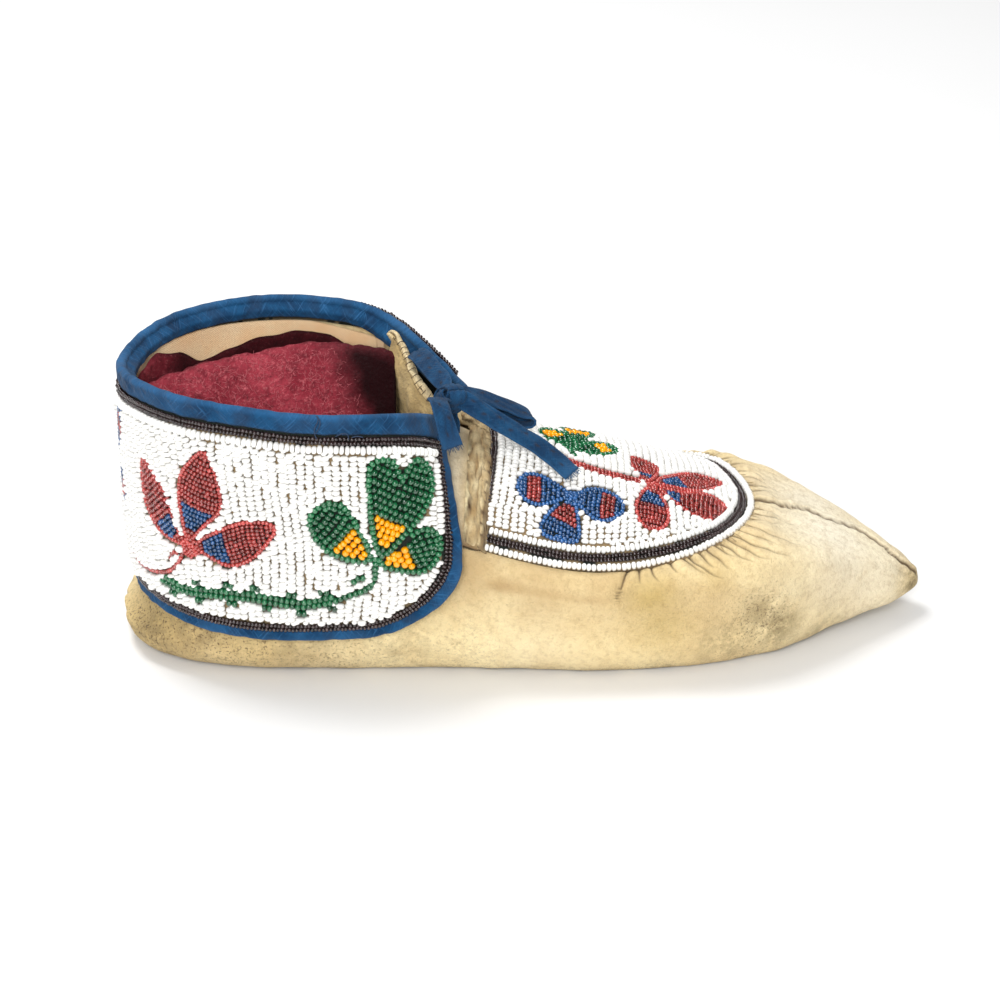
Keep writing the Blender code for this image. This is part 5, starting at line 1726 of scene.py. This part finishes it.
def binding(name, panel, edge, inward, node, outer_leg, inner_leg, stand_off):
    """Folded tape round an edge of the cuff: edge and inward are flat, in millimetres.

    Stand-off says how far behind the cuff's face the inner leg lies at each of its depths.
    """
    run = lengths(edge, 0)
    turn = np.linspace(0, np.pi, 11)
    depth = np.concatenate((np.linspace(outer_leg, 0.6, 7), 0.35 - TAPE_FOLD * np.sin(turn),
                            np.linspace(0.6, inner_leg, 12)))
    height = np.concatenate((np.linspace(-0.95, -0.35, 7), -1.5 + TAPE_FOLD * np.cos(turn),
                             np.full(12, -TAPE_BEHIND)))
    deep, along = np.meshgrid(depth, run, indexing="ij")
    high = height[:, None] + 0 * along
    share = bounded((deep[-12:] - 0.5) / 1.8)
    high[-12:] = -np.maximum(TAPE_BEHIND, TAPE_BEHIND + (stand_off(deep[-12:]) - TAPE_BEHIND) * share)
    spot = np.stack((along, deep), axis=-1)
    pucker = 0.18 * ripple(np.stack((along + deep * 0.9, deep * 0.25), axis=-1), 5.5, 31)
    pucker += 0.14 * ripple(spot, 14, 32) + 0.07 * ripple(spot, 2.6, 34)
    flat = edge[None] + inward[None] * deep[..., None]
    middle = panel.lay(flat, (high + pucker) * MM)
    worn = bounded(0.16 + 0.45 * hump(deep, -0.6, 0.8) + 0.4 * ripple(spot, 18, 33))
    worn = np.maximum(worn, hump(deep, outer_leg, 0.4) * 0.4)
    worn = worn * np.where(high < 0.05 - TAPE_BEHIND, 0.45, 1.0)
    soil = bounded(0.5 * hump(deep - outer_leg, -0.3, 0.25) * (np.sin(along * 1.9) > 0.6))
    soil = np.maximum(soil, 0.30 * bounded(ripple(spot, 9, 35)))
    piece = slab(name, middle[::-1], 0.55 * MM, TAPE_LOOK, "cotton_tape", spot[::-1] * MM,
                 worn=worn[::-1], soil=soil[::-1])
    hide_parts(node)


def ankle_gap(panel, spots):
    """How far inside the cuff's outline the outer face of the ankle strip lies, in millimetres."""
    inner = ankle_point(np.linspace(3, 19, 300)[:, None], np.linspace(0.75, 1.05, 24)).reshape(-1, 3)
    gaps = []
    for point, out in zip(panel.lay(spots), panel.up(spots)):
        nearest = inner[np.argmin(np.linalg.norm(inner - point, axis=-1))]
        gaps.append((point - nearest) @ out / MM)
    return np.array(gaps)


def tapes(panel):
    """Blue tape over the cuff's rim and round its hem and front edges."""
    along = np.linspace(0.2, panel.length - 0.2, 370)
    rim = np.stack((along, 0 * along), axis=-1)
    depths = (1.0, 2.6, 4.4)
    gaps = [ankle_gap(panel, rim + (0, depth)) for depth in depths]
    gaps = np.array([np.convolve(np.pad(gap, 7, "edge"), np.ones(15) / 15, "valid") for gap in gaps])

    def behind_rim(deep):
        share = bounded((deep - depths[0]) / (depths[2] - depths[0]))
        return np.minimum((1 - share) * gaps[0] + share * np.maximum(gaps[1], gaps[2]) + LINING_STACK, 6.6)

    straight_down = np.tile((0.0, 1.0), (len(rim), 1))
    binding("rim_tape", panel, rim, straight_down, "rim_binding", 4.7, 4.6, behind_rim)
    low = even_steps(panel.edge[panel.edge[:, 1] > 3.0], 410)
    travel = unit(np.gradient(low, axis=0))
    inward = np.stack((travel[:, 1], -travel[:, 0]), axis=-1)
    binding("hem_tape", panel, low, inward, "hem_binding", 2.5, 3.6, lambda deep: TAPE_BEHIND + 0 * deep)


# ---- ankle strip, canvas and lining ------------------------------------------------------
# Upright folds of the ankle strip by the throat: strip row, depth and width in rows.
ANKLE_FOLDS = ((2.2, -0.5, 0.35), (3.3, 0.7, 0.30), (4.1, -0.6, 0.35), (5.0, 0.5, 0.4), (18.9, 0.4, 0.4),
               (20.0, -0.4, 0.4))


def ankle_strip():
    """Collar of hide round the ankle, folded and creased beside the throat."""
    front = np.concatenate((np.linspace(0, 0.02, 4)[:-1], np.linspace(0.02, 8, 84)))
    rows = np.concatenate((front, np.linspace(8, 14, 36)[1:-1], (ANKLE_END - front)[::-1]))
    rises = crowded(0.0, 1.0, 34, 0.04)[::-1]
    rises, rows = np.meshgrid(rises, rows, indexing="ij")
    face = ankle_point(rows, rises)
    lift = -ANKLE_WALL / 2 + 0 * rises
    crease = np.zeros(rises.shape)
    for row, deep, width in ANKLE_FOLDS:
        shift = row + 0.25 * np.sin(rises * 3)
        fold = hump(rows, shift, width)
        lift += deep * MM * fold * np.sin(np.pi * np.clip(rises, 0.1, 0.95))
        crease = np.maximum(crease, 0.35 * fold * (deep < 0))
    throat = np.exp(-np.minimum(rows, ANKLE_END - rows) / 0.35)
    lift += ripples(face, (0.3 * MM, 14, 41), (0.14 * MM, 5, 42))
    crease = np.maximum(crease, 0.55 * throat * (0.5 + 0.5 * ripple(face, 3 * MM, 43)))
    crease = np.maximum(crease, 0.8 * np.exp(-rises / 0.03))
    middle = face + grid_normals(face) * lift[..., None]
    tan = bounded(0.25 + 0.25 * hump(rows, 1.6, 1.3) + 0.6 * np.exp(-rises / 0.15))
    nap = 0.35 * bounded(ripple(face * (1, 1, 0.3), 2.5 * MM, 48))
    # The pale hump beside the near throat is painted light on the lit side of a fold; the darkening in the
    # inward folds, by the throat and at the strip's foot is painted shade.
    piece = slab("ankle_strip", middle, ANKLE_WALL, HIDE_LOOK, "hide", crease=bounded(crease), soil=0.08,
                 tan=tan, specks=0.12, nap=nap, pale=0.45 * hump(rows, 2.0, 0.8))
    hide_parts("ankle")


def ankle_height(rows):
    """Length of each line up the ankle strip."""
    return lengths(ankle_point(rows, np.linspace(0, 1, 40)[:, None]), 0)[-1]


# First and last row of the ankle strip and width in millimetres of each turned edge.
THROAT_HEMS = (("ankle_hem_far", 16.5, 20.3, 6.0), ("ankle_hem_near", 1.8, 6.2, 4.0))
FACING_ROWS = (17.22, 20.8)
FACING_DROP = 34.0 * MM
WELT_ROW = 1.15                # row of the ankle strip that the welts start from, at either end
WELT_REACH = 0.8               # how far the throat's welts run in under the vamp's beads
CANVAS_ROWS = (6.2, 16.75)
CANVAS_DROP = 17.0 * MM


def throat_hems():
    """Turned and whipped edges of the ankle strip, down both sides of the throat."""
    for name, first, last, width in THROAT_HEMS:
        rows = crowded(first, last, 90, 0.05)
        far = last > ANKLE_END / 2
        taper = bounded((rows - first) / 0.5)
        taper = taper * taper * (3 - 2 * taper)
        wide = (width + 4.0 * bounded((rows - 17.0) / 0.8) * far) * (0.15 + 0.85 * taper)
        above = (0.6 + 1.1 * hump(rows, 17.2, 0.35) * far) * taper - 0.3
        share = crowded(0.0, 1.0, 14, 0.05)[:, None]
        deep = -above + share * (wide + above)
        rows = np.broadcast_to(rows, deep.shape)
        tall = ankle_height(rows[0])
        rises = 1 - deep * MM / tall
        face = ankle_point(rows, rises)
        lift = 0.75 + ripples(face, (0.30, 4, 45), (0.35, 11, 46))
        lift -= 0.5 * hump(deep, wide, 0.9) + 0.8 * hump(deep, -above, 0.7)
        lift = lift * taper - 0.5 * (1 - taper)
        # Painted shade along the turned edge, with random darker patches.
        crease = 0.5 * hump(deep, wide, 0.4) + 0.25 * bounded(ripple(face, 3 * MM, 47))
        middle = face + grid_normals(face) * (lift * MM)[..., None]
        slab(name, middle, 1.1 * MM, HIDE_LOOK, "hide", crease=bounded(crease), soil=0.1, stain=0.05,
             tan=0.15, pale=0.15, specks=0.4)


def throat_facing():
    """Napped facing that hangs inside the far edge of the throat."""
    rows = crowded(*FACING_ROWS, 70, 0.03)
    drops = crowded(0.0, FACING_DROP / MM, 36, 0.9)[:, None] * MM
    top = ankle_point(rows, 1)
    ahead = unit(np.gradient(top, axis=0) * (1, 1, 0))
    inward = np.stack((ahead[:, 1], -ahead[:, 0], 0 * rows), axis=-1)
    hang = 0.7 + 1.3 * (1 - np.exp(-drops / (3 * MM))) + 0 * rows
    line = np.stack((rows * 8 * MM + 0 * drops, drops * 0.35 + 0 * rows), axis=-1)
    hang += (0.9 * ripple(line, 9 * MM, 91) + 0.35 * ripple(line, 4 * MM, 92)) * bounded(drops / (6 * MM))
    middle = top + inward * (hang * MM)[..., None] - UP * drops[..., None]
    middle += ripples(middle, (0.2 * MM, 3, 93))[..., None] * inward
    # Random darker streaks down the facing, and painted shade just under its top edge.
    crease = bounded(0.35 * ripple(line, 7 * MM, 94)) + 0.35 * np.exp(-drops / (1.0 * MM))
    nap = 0.35 * bounded(ripple(line, 9 * MM, 99) + 0.3)
    slab("throat_facing", middle[:, ::-1], 1.2 * MM, HIDE_LOOK, "hide", crease=bounded(crease)[:, ::-1],
         soil=0.1, stain=0.45, tan=0.4, nap=nap[:, ::-1], specks=0.4)


def throat_welts():
    """Napped edge of the ankle strip where it is whipped down behind the vamp's beads."""
    for name, side in (("throat_welt_near", -1), ("throat_welt_far", 1)):
        across = side * crowded(0.005, 0.995, 84, 0.02)[::-1]
        front = vamp_point(THROAT_ROW, across)
        front += TOE_WARD * WELT_REACH * MM - UP * 1.35 * MM
        row = WELT_ROW if side < 0 else ANKLE_END - WELT_ROW
        rises = np.linspace(0, 1, 120)
        column = ankle_point(row, rises)
        rise = np.interp(side * front[:, 1], *(side * column[::-1, 1], rises[::-1]))
        back = ankle_point(row, rise)
        width = crowded(0.0, 1.0, 30, 0.06)[:, None]
        grid = back[None] * (1 - width[..., None]) + front[None] * width[..., None]
        grid = grid if side < 0 else grid[:, ::-1]
        normal = grid_normals(grid)
        normal = normal * np.sign(normal[..., 2:3])
        run = lengths(grid, 1) / MM
        share = width + 0.10 * np.sin(run / 3.1) + ripples(grid, (0.12, 9, 95), (0.05, 3, 90))
        strands = np.stack((run * 0.35 * MM, width * 11 * MM + 0 * run), axis=-1)
        lift = 0.1 + 0.95 * hump(share, 0.34, 0.20) + 0.75 * hump(share, 0.78, 0.18)
        lift += ripples(grid, (0.55, 8, 96), (0.3, 3.5, 87)) + 0.2 * ripple(strands, 2.2 * MM, 97)
        lift *= np.clip((1.02 - width) / 0.30, 0.05, 1)
        wide = np.linalg.norm(grid[-1] - grid[0], axis=-1) / MM
        sewn = 1 - (WELT_REACH - throat_step(across * THROAT_HALF) - 0.25) / wide
        sewn = sewn if side < 0 else sewn[::-1]
        holes = hump(width, sewn, 0.045) * bounded(np.sin(run * 2 * np.pi / 3.4) * 2 - 0.9)
        valley = 0.85 * hump(share, 0.06, 0.07) * bounded(0.75 + ripple(grid, 11 * MM, 89))
        valley += 0.35 * hump(share, 0.56, 0.05) * bounded(0.4 + ripple(grid, 9 * MM, 85))
        # Painted shade in the valleys, in the stitch holes and where the welt runs in under the beads, with
        # dark streaks along the nap.
        crease = np.maximum(valley, 0.95 * holes) + 0.6 * bounded((width - sewn - 0.02) / 0.04)
        crease += 0.45 * bounded(ripple(strands, 1.5 * MM, 98) - 0.2)
        brown = bounded((share - 0.02) / 0.10) * (0.60 + 0.35 * ripple(strands, 3 * MM, 88))
        middle = grid + normal * (lift * MM)[..., None]
        slab(name, middle, 0.9 * MM, HIDE_LOOK, "hide", crease=bounded(crease), soil=0.15, stain=0.05,
             nap=np.clip(brown, 0, 0.9), pale=0.12 * (1 - bounded(brown)), specks=0.2)


def canvas_band():
    """Twill facing inside the collar, between the tape and the wool."""
    rows = crowded(*CANVAS_ROWS, 130, 0.02)
    shares = crowded(0.0, 1.0, 14, 0.02)[:, None]
    tall = ankle_height(rows)
    above = (0.5 - 2.3 * bounded((rows - 15.0) / 1.3)) * MM
    rises = 1 + (above - shares * (CANVAS_DROP + above)) / tall
    face = ankle_point(rows, rises)
    lift = -(ANKLE_WALL + 0.7 * MM) + 0.3 * MM * ripple(face, 20 * MM, 51)
    middle = face + grid_normals(face) * lift[..., None]
    piece = slab("canvas_band", middle, 0.5 * MM, CANVAS_LOOK, "hide")
    run = lengths(face, 1)[:, -1].mean()


def lining_wall(rows, top):
    """Inner faces of ankle strip and hide as one run of points, top to floor."""
    upper = ankle_point(rows, top - np.linspace(0, 1, 22)[:, None] * (top - 0.02))
    upper = upper - grid_normals(upper) * ANKLE_WALL
    seam = ANKLE["seam"](rows)
    lower = body_point(seam, np.linspace(1.97, 1.06, 20)[:, None])
    lower = lower - grid_normals(lower) * HIDE_WALL
    return np.concatenate((upper, lower))


WOOL_WALL = 1.6 * MM
FOLD_WALL = 1.8 * MM
# Top edge of the wool lining: row of the ankle strip and share of its height.
LINING_TOP = (
    (4.4, 0.82), (7.0, 0.85), (9.0, 0.90), (10.2, 0.96), (11.0, 1.0), (12.0, 1.0), (12.5, 0.915),
    (12.9, 0.79), (13.2, 0.785), (13.5, 0.83), (14.0, 0.89), (14.5, 0.925), (15.0, 0.945), (15.3, 0.92),
    (15.6, 0.86), (16.5, 0.84), (17.3, 0.76),
)


def wool_lining():
    """Red wool round the heel and sides, loosely fitted, with a wavy top edge."""
    rows = crowded(LINING_TOP[0][0], LINING_TOP[-1][0], 170, 0.02)
    top = np.interp(rows, *np.array(LINING_TOP).T) + 0.008 * np.sin(rows * 9.1)
    wall = lining_wall(rows, top)
    down = lengths(wall, 0) / MM
    lift = -1.5 - 0.6 * bounded(1 - down / 3)
    lift += -0.8 * np.clip(ripple(wall, 17 * MM, 61), -0.6, 1) - 0.3 * ripple(wall, 6 * MM, 62)
    middle = wall + grid_normals(wall) * (lift * MM)[..., None]
    # Painted shade: dark on the far side behind the slack fold, and darker further down the wall.
    shade = np.clip((rows - 11.9) / 0.7, 0.22, 0.84) + 0.12 * bounded(down / 20)
    piece = slab("wool_lining", middle, WOOL_WALL, WOOL_LOOK, "hide",
                 shade=np.clip(shade, 0, 0.9))
    run = lengths(wall, 1)[10, -1]
    tall = lengths(wall, 0)[-1].mean()


# The slack inner layer of the lining on the far side: its crest from heel to throat, and the
# way it falls from there, as steps across and down, in millimetres.
CREST = (
    (7.0, 6.0, 74.0), (14, 13.0, 74.3), (20.3, 17, 74.2), (24.2, 19, 75.0), (30.6, 22, 75.4),
    (37.2, 25, 76.0), (44, 27.5, 76.3), (50.3, 29, 76.5), (56, 29.8, 76.6), (61.5, 29.5, 76.7),
    (67.1, 28.5, 76.6), (72.7, 27.5, 76.2), (78.2, 26, 75.4), (80.6, 25, 74.6),
)
FALL = (
    (5, -9), (3.4, -3.2), (0, 0), (-5, -1.4), (-10, -4.0), (-15, -7.6), (-20, -12.2), (-24, -18.5),
    (-26, -28), (-27, -42), (-26.5, -56), (-25, -68),
)


def wool_fold():
    """The lining's slack inner layer on the far side, slumped inwards over the footbed."""
    crest = through(np.array(CREST) * MM, 120)
    fall = through(np.array(FALL, float) * MM, 50)
    steep = 1 + 1.6 * bounded((crest[:, 0] / MM - 60) / 20) ** 2
    middle = np.empty((len(fall), len(crest), 3))
    middle[..., 0] = crest[:, 0]
    middle[..., 1] = crest[:, 1] + fall[:, None, 0] * np.clip((crest[:, 0] / MM + 12) / 30, 0.5, 1)
    middle[..., 2] = np.maximum(crest[:, 2] + fall[:, None, 1] * steep, HIDE_WALL + 3 * MM)
    lumps = ripples(middle, (0.5, 26, 65), (0.4, 9, 66), (0.25, 3.5, 67))
    middle += grid_normals(middle) * (lumps * MM)[..., None]
    x, y = middle[..., 0] / MM, middle[..., 1] / MM
    below = crest[:, 1] / MM - y
    # Painted shade where the fold falls away towards the toe and on its back beyond the crest.
    shade = bounded((x - 54 - 0.42 * below + 2.5 * ripple(middle, 12 * MM, 68)) / 14)
    shade *= 0.72 + 0.27 * bounded(below / 4)
    shade = np.maximum(shade, 0.6 * bounded(-below / 2))
    piece = slab("wool_fold", middle[:, ::-1], FOLD_WALL, WOOL_LOOK, "hide", shade=shade[:, ::-1])
    tall = lengths(middle, 0)[-1].mean()
    float(lengths(middle, 1)[20, -1])
    return middle, shade


FOOTBED_TOE = 208.0 * MM       # the wool under the foot stops here, where the sole begins to rise


def wool_insole():
    """Wool footbed over the inner face of the sole."""
    ribs = np.linspace(0, BODY_LOOP, 160, endpoint=False)
    edge = body_point(ribs, 0.28)
    spine = sole_edge(ribs) * (1, 0, 0)
    spine[:, 0] = np.clip(spine[:, 0], *SOLE_SPINE)
    half = len(ribs) // 2
    near, far = edge[:half + 1], np.concatenate((edge[:1], edge[:half - 1:-1]))
    across = np.linspace(0, 1, 21)[:, None, None]
    bed = near[None] * (1 - across) + far[None] * across
    bed = bed[:, bed[..., 0].mean(axis=0) < FOOTBED_TOE]
    bed = bed[:, :-2]
    bed[..., 2] = HIDE_WALL + WOOL_WALL + 0.6 * MM * ripple(bed, 24 * MM, 71)
    bed = bed - (bed - bed.mean(axis=0, keepdims=True)) * 0.08
    # Painted shade over the whole footbed, down in the shoe.
    slab("wool_insole", bed, WOOL_WALL, WOOL_LOOK, "hide", shade=0.7)


FIBRES = 2600
FIBRE_RADIUS = 0.055 * MM


def wool_fuzz(face, shade):
    """Stray fibres standing off the wool that shows in the collar."""
    dice = np.random.default_rng(81)
    rows, columns = face.shape[:2]
    normal = grid_normals(face)
    normal = normal * np.sign(normal[..., 2:3] + 1e-9)
    count = FIBRES
    i = dice.integers(8, int(rows * 0.55), count)
    j = dice.integers(1, columns - 1, count)
    lit = shade[i, j] < dice.uniform(0.1, 0.9, count)
    i, j, count = i[lit], j[lit], int(lit.sum())
    root = face[i, j] + normal[i, j] * 0.9 * MM + dice.normal(size=(count, 3)) * 0.5 * MM
    lean = unit(normal[i, j] * 0.35 + dice.normal(size=(count, 3)) * 0.9)
    bend = unit(dice.normal(size=(count, 3)))
    reach = dice.uniform(0.5, 2.2, count)[:, None] * MM
    line = [root + lean * reach * t + bend * reach * 0.6 * t ** 2 for t in (0, 0.5, 1.0)]
    side = unit(np.cross(lean, bend)) * FIBRE_RADIUS
    other = unit(np.cross(lean, side)) * FIBRE_RADIUS
    corners = side, other - side * 0.5, -other - side * 0.5
    rings = np.stack([np.stack([spot + corner for corner in corners], axis=1) for spot in line], axis=1)
    index = np.arange(9).reshape(3, 3)
    index = np.concatenate((index, index[:, :1]), axis=1)
    faces = grid_faces(index)
    faces = (faces[None] + (np.arange(count) * 9)[:, None, None]).reshape(-1, 4)
    new_piece("wool_fuzz", rings.reshape(-1, 3), faces, FUZZ_LOOK, "hide")


# ---- stitches ----------------------------------------------------------------------------
# The points of one stitch: the share of its way from start to end, and steps in millimetres
# along the other directions that its function names.
VAMP_STITCH = ((0, -0.5, -0.2), (0, 0, 0.3), (1, 0, 0.05), (1, 0.3, -0.5))
EDGE_STITCH = (
    (0, 2.0, 1.5, 0), (0, 0.6, 1.5, 0), (0, -1.0, 0, 0.5), (0, 0.7, -1.7, 0.8), (0, 1.8, -2.2, 1.0),
)
WELT_STITCH = ((0, -1.6, 0.2, -0.5), (0, -0.9, 1.0, 0), (0, 0.2, 0.7, 0.5), (0, 1.0, -0.3, 0.5))
ANKLE_STITCH = ((0, -0.3), (0.5, 0.45), (1, -0.3))
OPENING = (40.0, 0, 60)        # a point inside the collar


def stitch(shape, start, end, *ways):
    """Points of one stitch from its table."""
    shape = np.array(shape, float)
    return start + shape[:, :1] * (end - start) + shape[:, 1:] @ np.array(ways) * MM


def threads(name, lines, steps, radius, look, slot):
    """Round threads along lines of points, as one piece."""
    points, faces = joined([tube(through(line, steps), radius, 6) for line in lines])
    new_piece(name, points, faces, look, slot, points[:, :2])


def vamp_stitches():
    """Whip stitches at the toe end of the vamp, over the hide's edge."""
    ribs = np.linspace(0.4, 2.7, 15)
    ribs = np.concatenate((ribs, BODY_LOOP - ribs))
    rim = place(BODY, "rim", ribs) + rim_roll(ribs, 0 * ribs)
    out = body_point(ribs, 1.975)
    lines = [stitch(VAMP_STITCH, start, end, unit(end - start), UP) for start, end in zip(rim, out)]
    threads("vamp_stitches", lines, 9, 0.10 * MM, THREAD_LOOK, "hide")


def edge_stitches():
    """Dark whip stitches over the turned edges on both sides of the throat."""
    rows = np.concatenate((np.linspace(17.3, 20.1, 15), np.linspace(1.9, 6.0, 18)))
    rows = rows + 0.03 * np.sin(rows * 37)
    top = ankle_point(rows, 1)
    ahead = unit(ankle_point(rows + 0.05, 1) - top)
    down = unit(ankle_point(rows, 0.93) - top)
    out = unit(np.cross(-down, ahead))
    out *= np.sign((out * (top - np.array(OPENING) * MM)).sum(axis=1))[:, None]
    lines = [stitch(EDGE_STITCH, edge, edge, *ways) for edge, *ways in zip(top, down, out, ahead)]
    threads("edge_stitches", lines, 9, 0.11 * MM, DARK_THREAD_LOOK, "hide")


def welt_stitches():
    """Stitches across the sewn edge of the throat's welts, in front of the beads."""
    lines = []
    for side in (-1, 1):
        for across in np.arange(0.16, 0.97, 0.085) * side:
            spot = vamp_point(THROAT_ROW, across)
            spot = spot + TOE_WARD * (throat_step(across * THROAT_HALF) + 0.2) * MM
            skew = unit((vamp_point(THROAT_ROW, across * 1.02) - spot) * (0, 1, 1))
            lines.append(stitch(WELT_STITCH, spot, spot, TOE_WARD, UP, skew))
    threads("welt_stitches", lines, 9, 0.15 * MM, THREAD_LOOK, "hide")


def ankle_stitches():
    """Stitches across the seam between the sides and the ankle strip, beside the throat."""
    rows = np.concatenate((np.linspace(1.2, 3.0, 7), ANKLE_END - np.linspace(1.2, 3.0, 7)))
    low = body_point(ANKLE["seam"](rows), 1.97)
    high = ankle_point(rows, 0.03)
    out = unit(low * (0, 1, 0))
    lines = [stitch(ANKLE_STITCH, *ends) for ends in zip(low, high, out)]
    threads("ankle_stitches", lines, 9, 0.10 * MM, THREAD_LOOK, "hide")


# Loose blue threads on the rim tape: along the rim, down from it, and off the tape, in millimetres.
TAPE_THREADS = (
    ((40.6, -1.6, 0.2), (40.4, -0.8, 1.2), (40.9, 1.0, 0.5), (41.6, 3.0, 0.5), (41.0, 5.2, 0.6)),
    ((40.9, -1.5, 0.1), (39.9, -0.4, 1.1), (40.2, 1.8, 0.7), (41.2, 3.6, 0.3)),
    ((35.6, 4.6, 0.2), (34.6, 3.8, 0.8), (33.2, 3.5, 0.9), (32.2, 4.2, 0.5), (32.0, 5.4, 0.3)),
    ((31.0, 4.9, 0.3), (29.6, 4.5, 0.6), (28.0, 4.9, 0.3)),
)


def tape_threads(panel):
    lines = [panel.lay(line[:, :2], line[:, 2] * MM) for line in map(np.array, TAPE_THREADS)]
    threads("tape_threads", lines, 14, 0.16 * MM, BLUE_THREAD_LOOK, "cotton_tape")


# ---- stage -------------------------------------------------------------------------------
# Name, place in metres, size and power of each lamp.
LAMPS = (("key", (-0.35, 0.35, 1.20), 0.50, 11.5), ("front", (-0.25, -1.28, 0.84), 0.65, 18.0))
LAMP_AIM = (0, 0, 0.04)
SKY = 0.64
FLOOR_GREY = (0.74, 0.76)
FLOOR_HALF = 6.0


def add_stage():
    """Pale floor, soft light from above and a little from the heel."""
    mesh = bpy.data.meshes.new("floor")
    corners = [(x * FLOOR_HALF, y * FLOOR_HALF, 0) for x, y in ((-1, -1), (1, -1), (1, 1), (-1, 1))]
    mesh.from_pydata(corners, [], [(0, 1, 2, 3)])
    look = Look("floor", 0.75, Specular_IOR_Level=0.15)
    cloudy = look.ramp(look.noise(look.place(), 3.0, 2, 0.5), 0.3, 0.7)
    mesh.materials.append(look.finish(look.mix(cloudy, *((grey, grey, grey) for grey in FLOOR_GREY))))
    floor = bpy.data.objects.new("floor", mesh)
    bpy.context.scene.collection.objects.link(floor)
    world = bpy.data.worlds.new("studio")
    world.use_nodes = True
    sky = world.node_tree.nodes["Background"]
    sky.inputs["Color"].default_value = (1.0, 1.0, 1.0, 1.0)
    sky.inputs["Strength"].default_value = SKY
    world.cycles_visibility.glossy = False               # the beads mirror the lamps only
    bpy.context.scene.world = world
    for name, spot, size, power in LAMPS:
        light = bpy.data.lights.new(name, "AREA")
        light.size = size
        light.energy = power
        lamp = bpy.data.objects.new(name, light)
        lamp.location = spot
        lamp.rotation_euler = (Vector(LAMP_AIM) - Vector(spot)).to_track_quat("-Z", "Y").to_euler()
        bpy.context.scene.collection.objects.link(lamp)
    bpy.context.scene.view_settings.view_transform = "Standard"
    bpy.context.scene.view_settings.look = "None"


# ---- making it ---------------------------------------------------------------------------
HIDE_LOOK = hide_look("smoked_hide")
RIBBON_LOOK = cloth_look("blue_ribbon", (0.008, 0.052, 0.125), (0.004, 0.028, 0.075), 0.35 * MM, 0.18, 0.5)
TAPE_LOOK = cloth_look("blue_tape", (0.006, 0.058, 0.145), (0.003, 0.030, 0.082), 0.40 * MM, 0.55, 0.6)
# The last colour of the backing is its painted shade under coloured glass.
BACKING_LOOK = backing_look((0.52, 0.38, 0.20), (0.15, 0.09, 0.045), (0.008, 0.014, 0.010))
THREAD_LOOK = thread_look("pale_thread", (0.45, 0.34, 0.19), (0.25, 0.17, 0.08))
DARK_THREAD_LOOK = thread_look("dark_thread", (0.10, 0.06, 0.035), (0.03, 0.02, 0.012))
BLUE_THREAD_LOOK = thread_look("blue_thread", (0.03, 0.06, 0.12), (0.01, 0.02, 0.05))
FUZZ_LOOK = thread_look("wool_fibre", (0.72, 0.22, 0.24), (0.34, 0.05, 0.07))
CANVAS_LOOK = canvas_look()
WOOL_LOOK = wool_look()
BEAD_LOOKS = {
    "white": bead_look("white_beads", (0.84, 0.83, 0.80), 0.20, 0.35, 0.05, 0.5),
    "brown": bead_look("brown_beads", (0.020, 0.007, 0.007), 0.10, 0.75, 0.8, 0.2),
    "rose": bead_look("rose_beads", (0.34, 0.038, 0.032), 0.14, 0.9, 0.65, 0.2),
    "blue": bead_look("blue_beads", (0.012, 0.074, 0.220), 0.14, 0.9, 0.65, 0.2),
    "green": bead_look("green_beads", (0.004, 0.100, 0.032), 0.12, 0.9, 0.6, 0.2),
    "orange": bead_look("orange_beads", (1.0, 0.38, 0.0), 0.16, 0.6, 0.12, 0.4),
}

add_camera()
ties()
hide()
ankle_strip()
throat_hems()
throat_facing()
throat_welts()
CUFF_FACE = cuff_panel()
beadwork(CUFF_FACE, vamp_panel())
tapes(CUFF_FACE)
tape_threads(CUFF_FACE)
canvas_band()
wool_lining()
wool_fuzz(*wool_fold())
wool_insole()
vamp_stitches()
edge_stitches()
welt_stitches()
ankle_stitches()
add_stage()
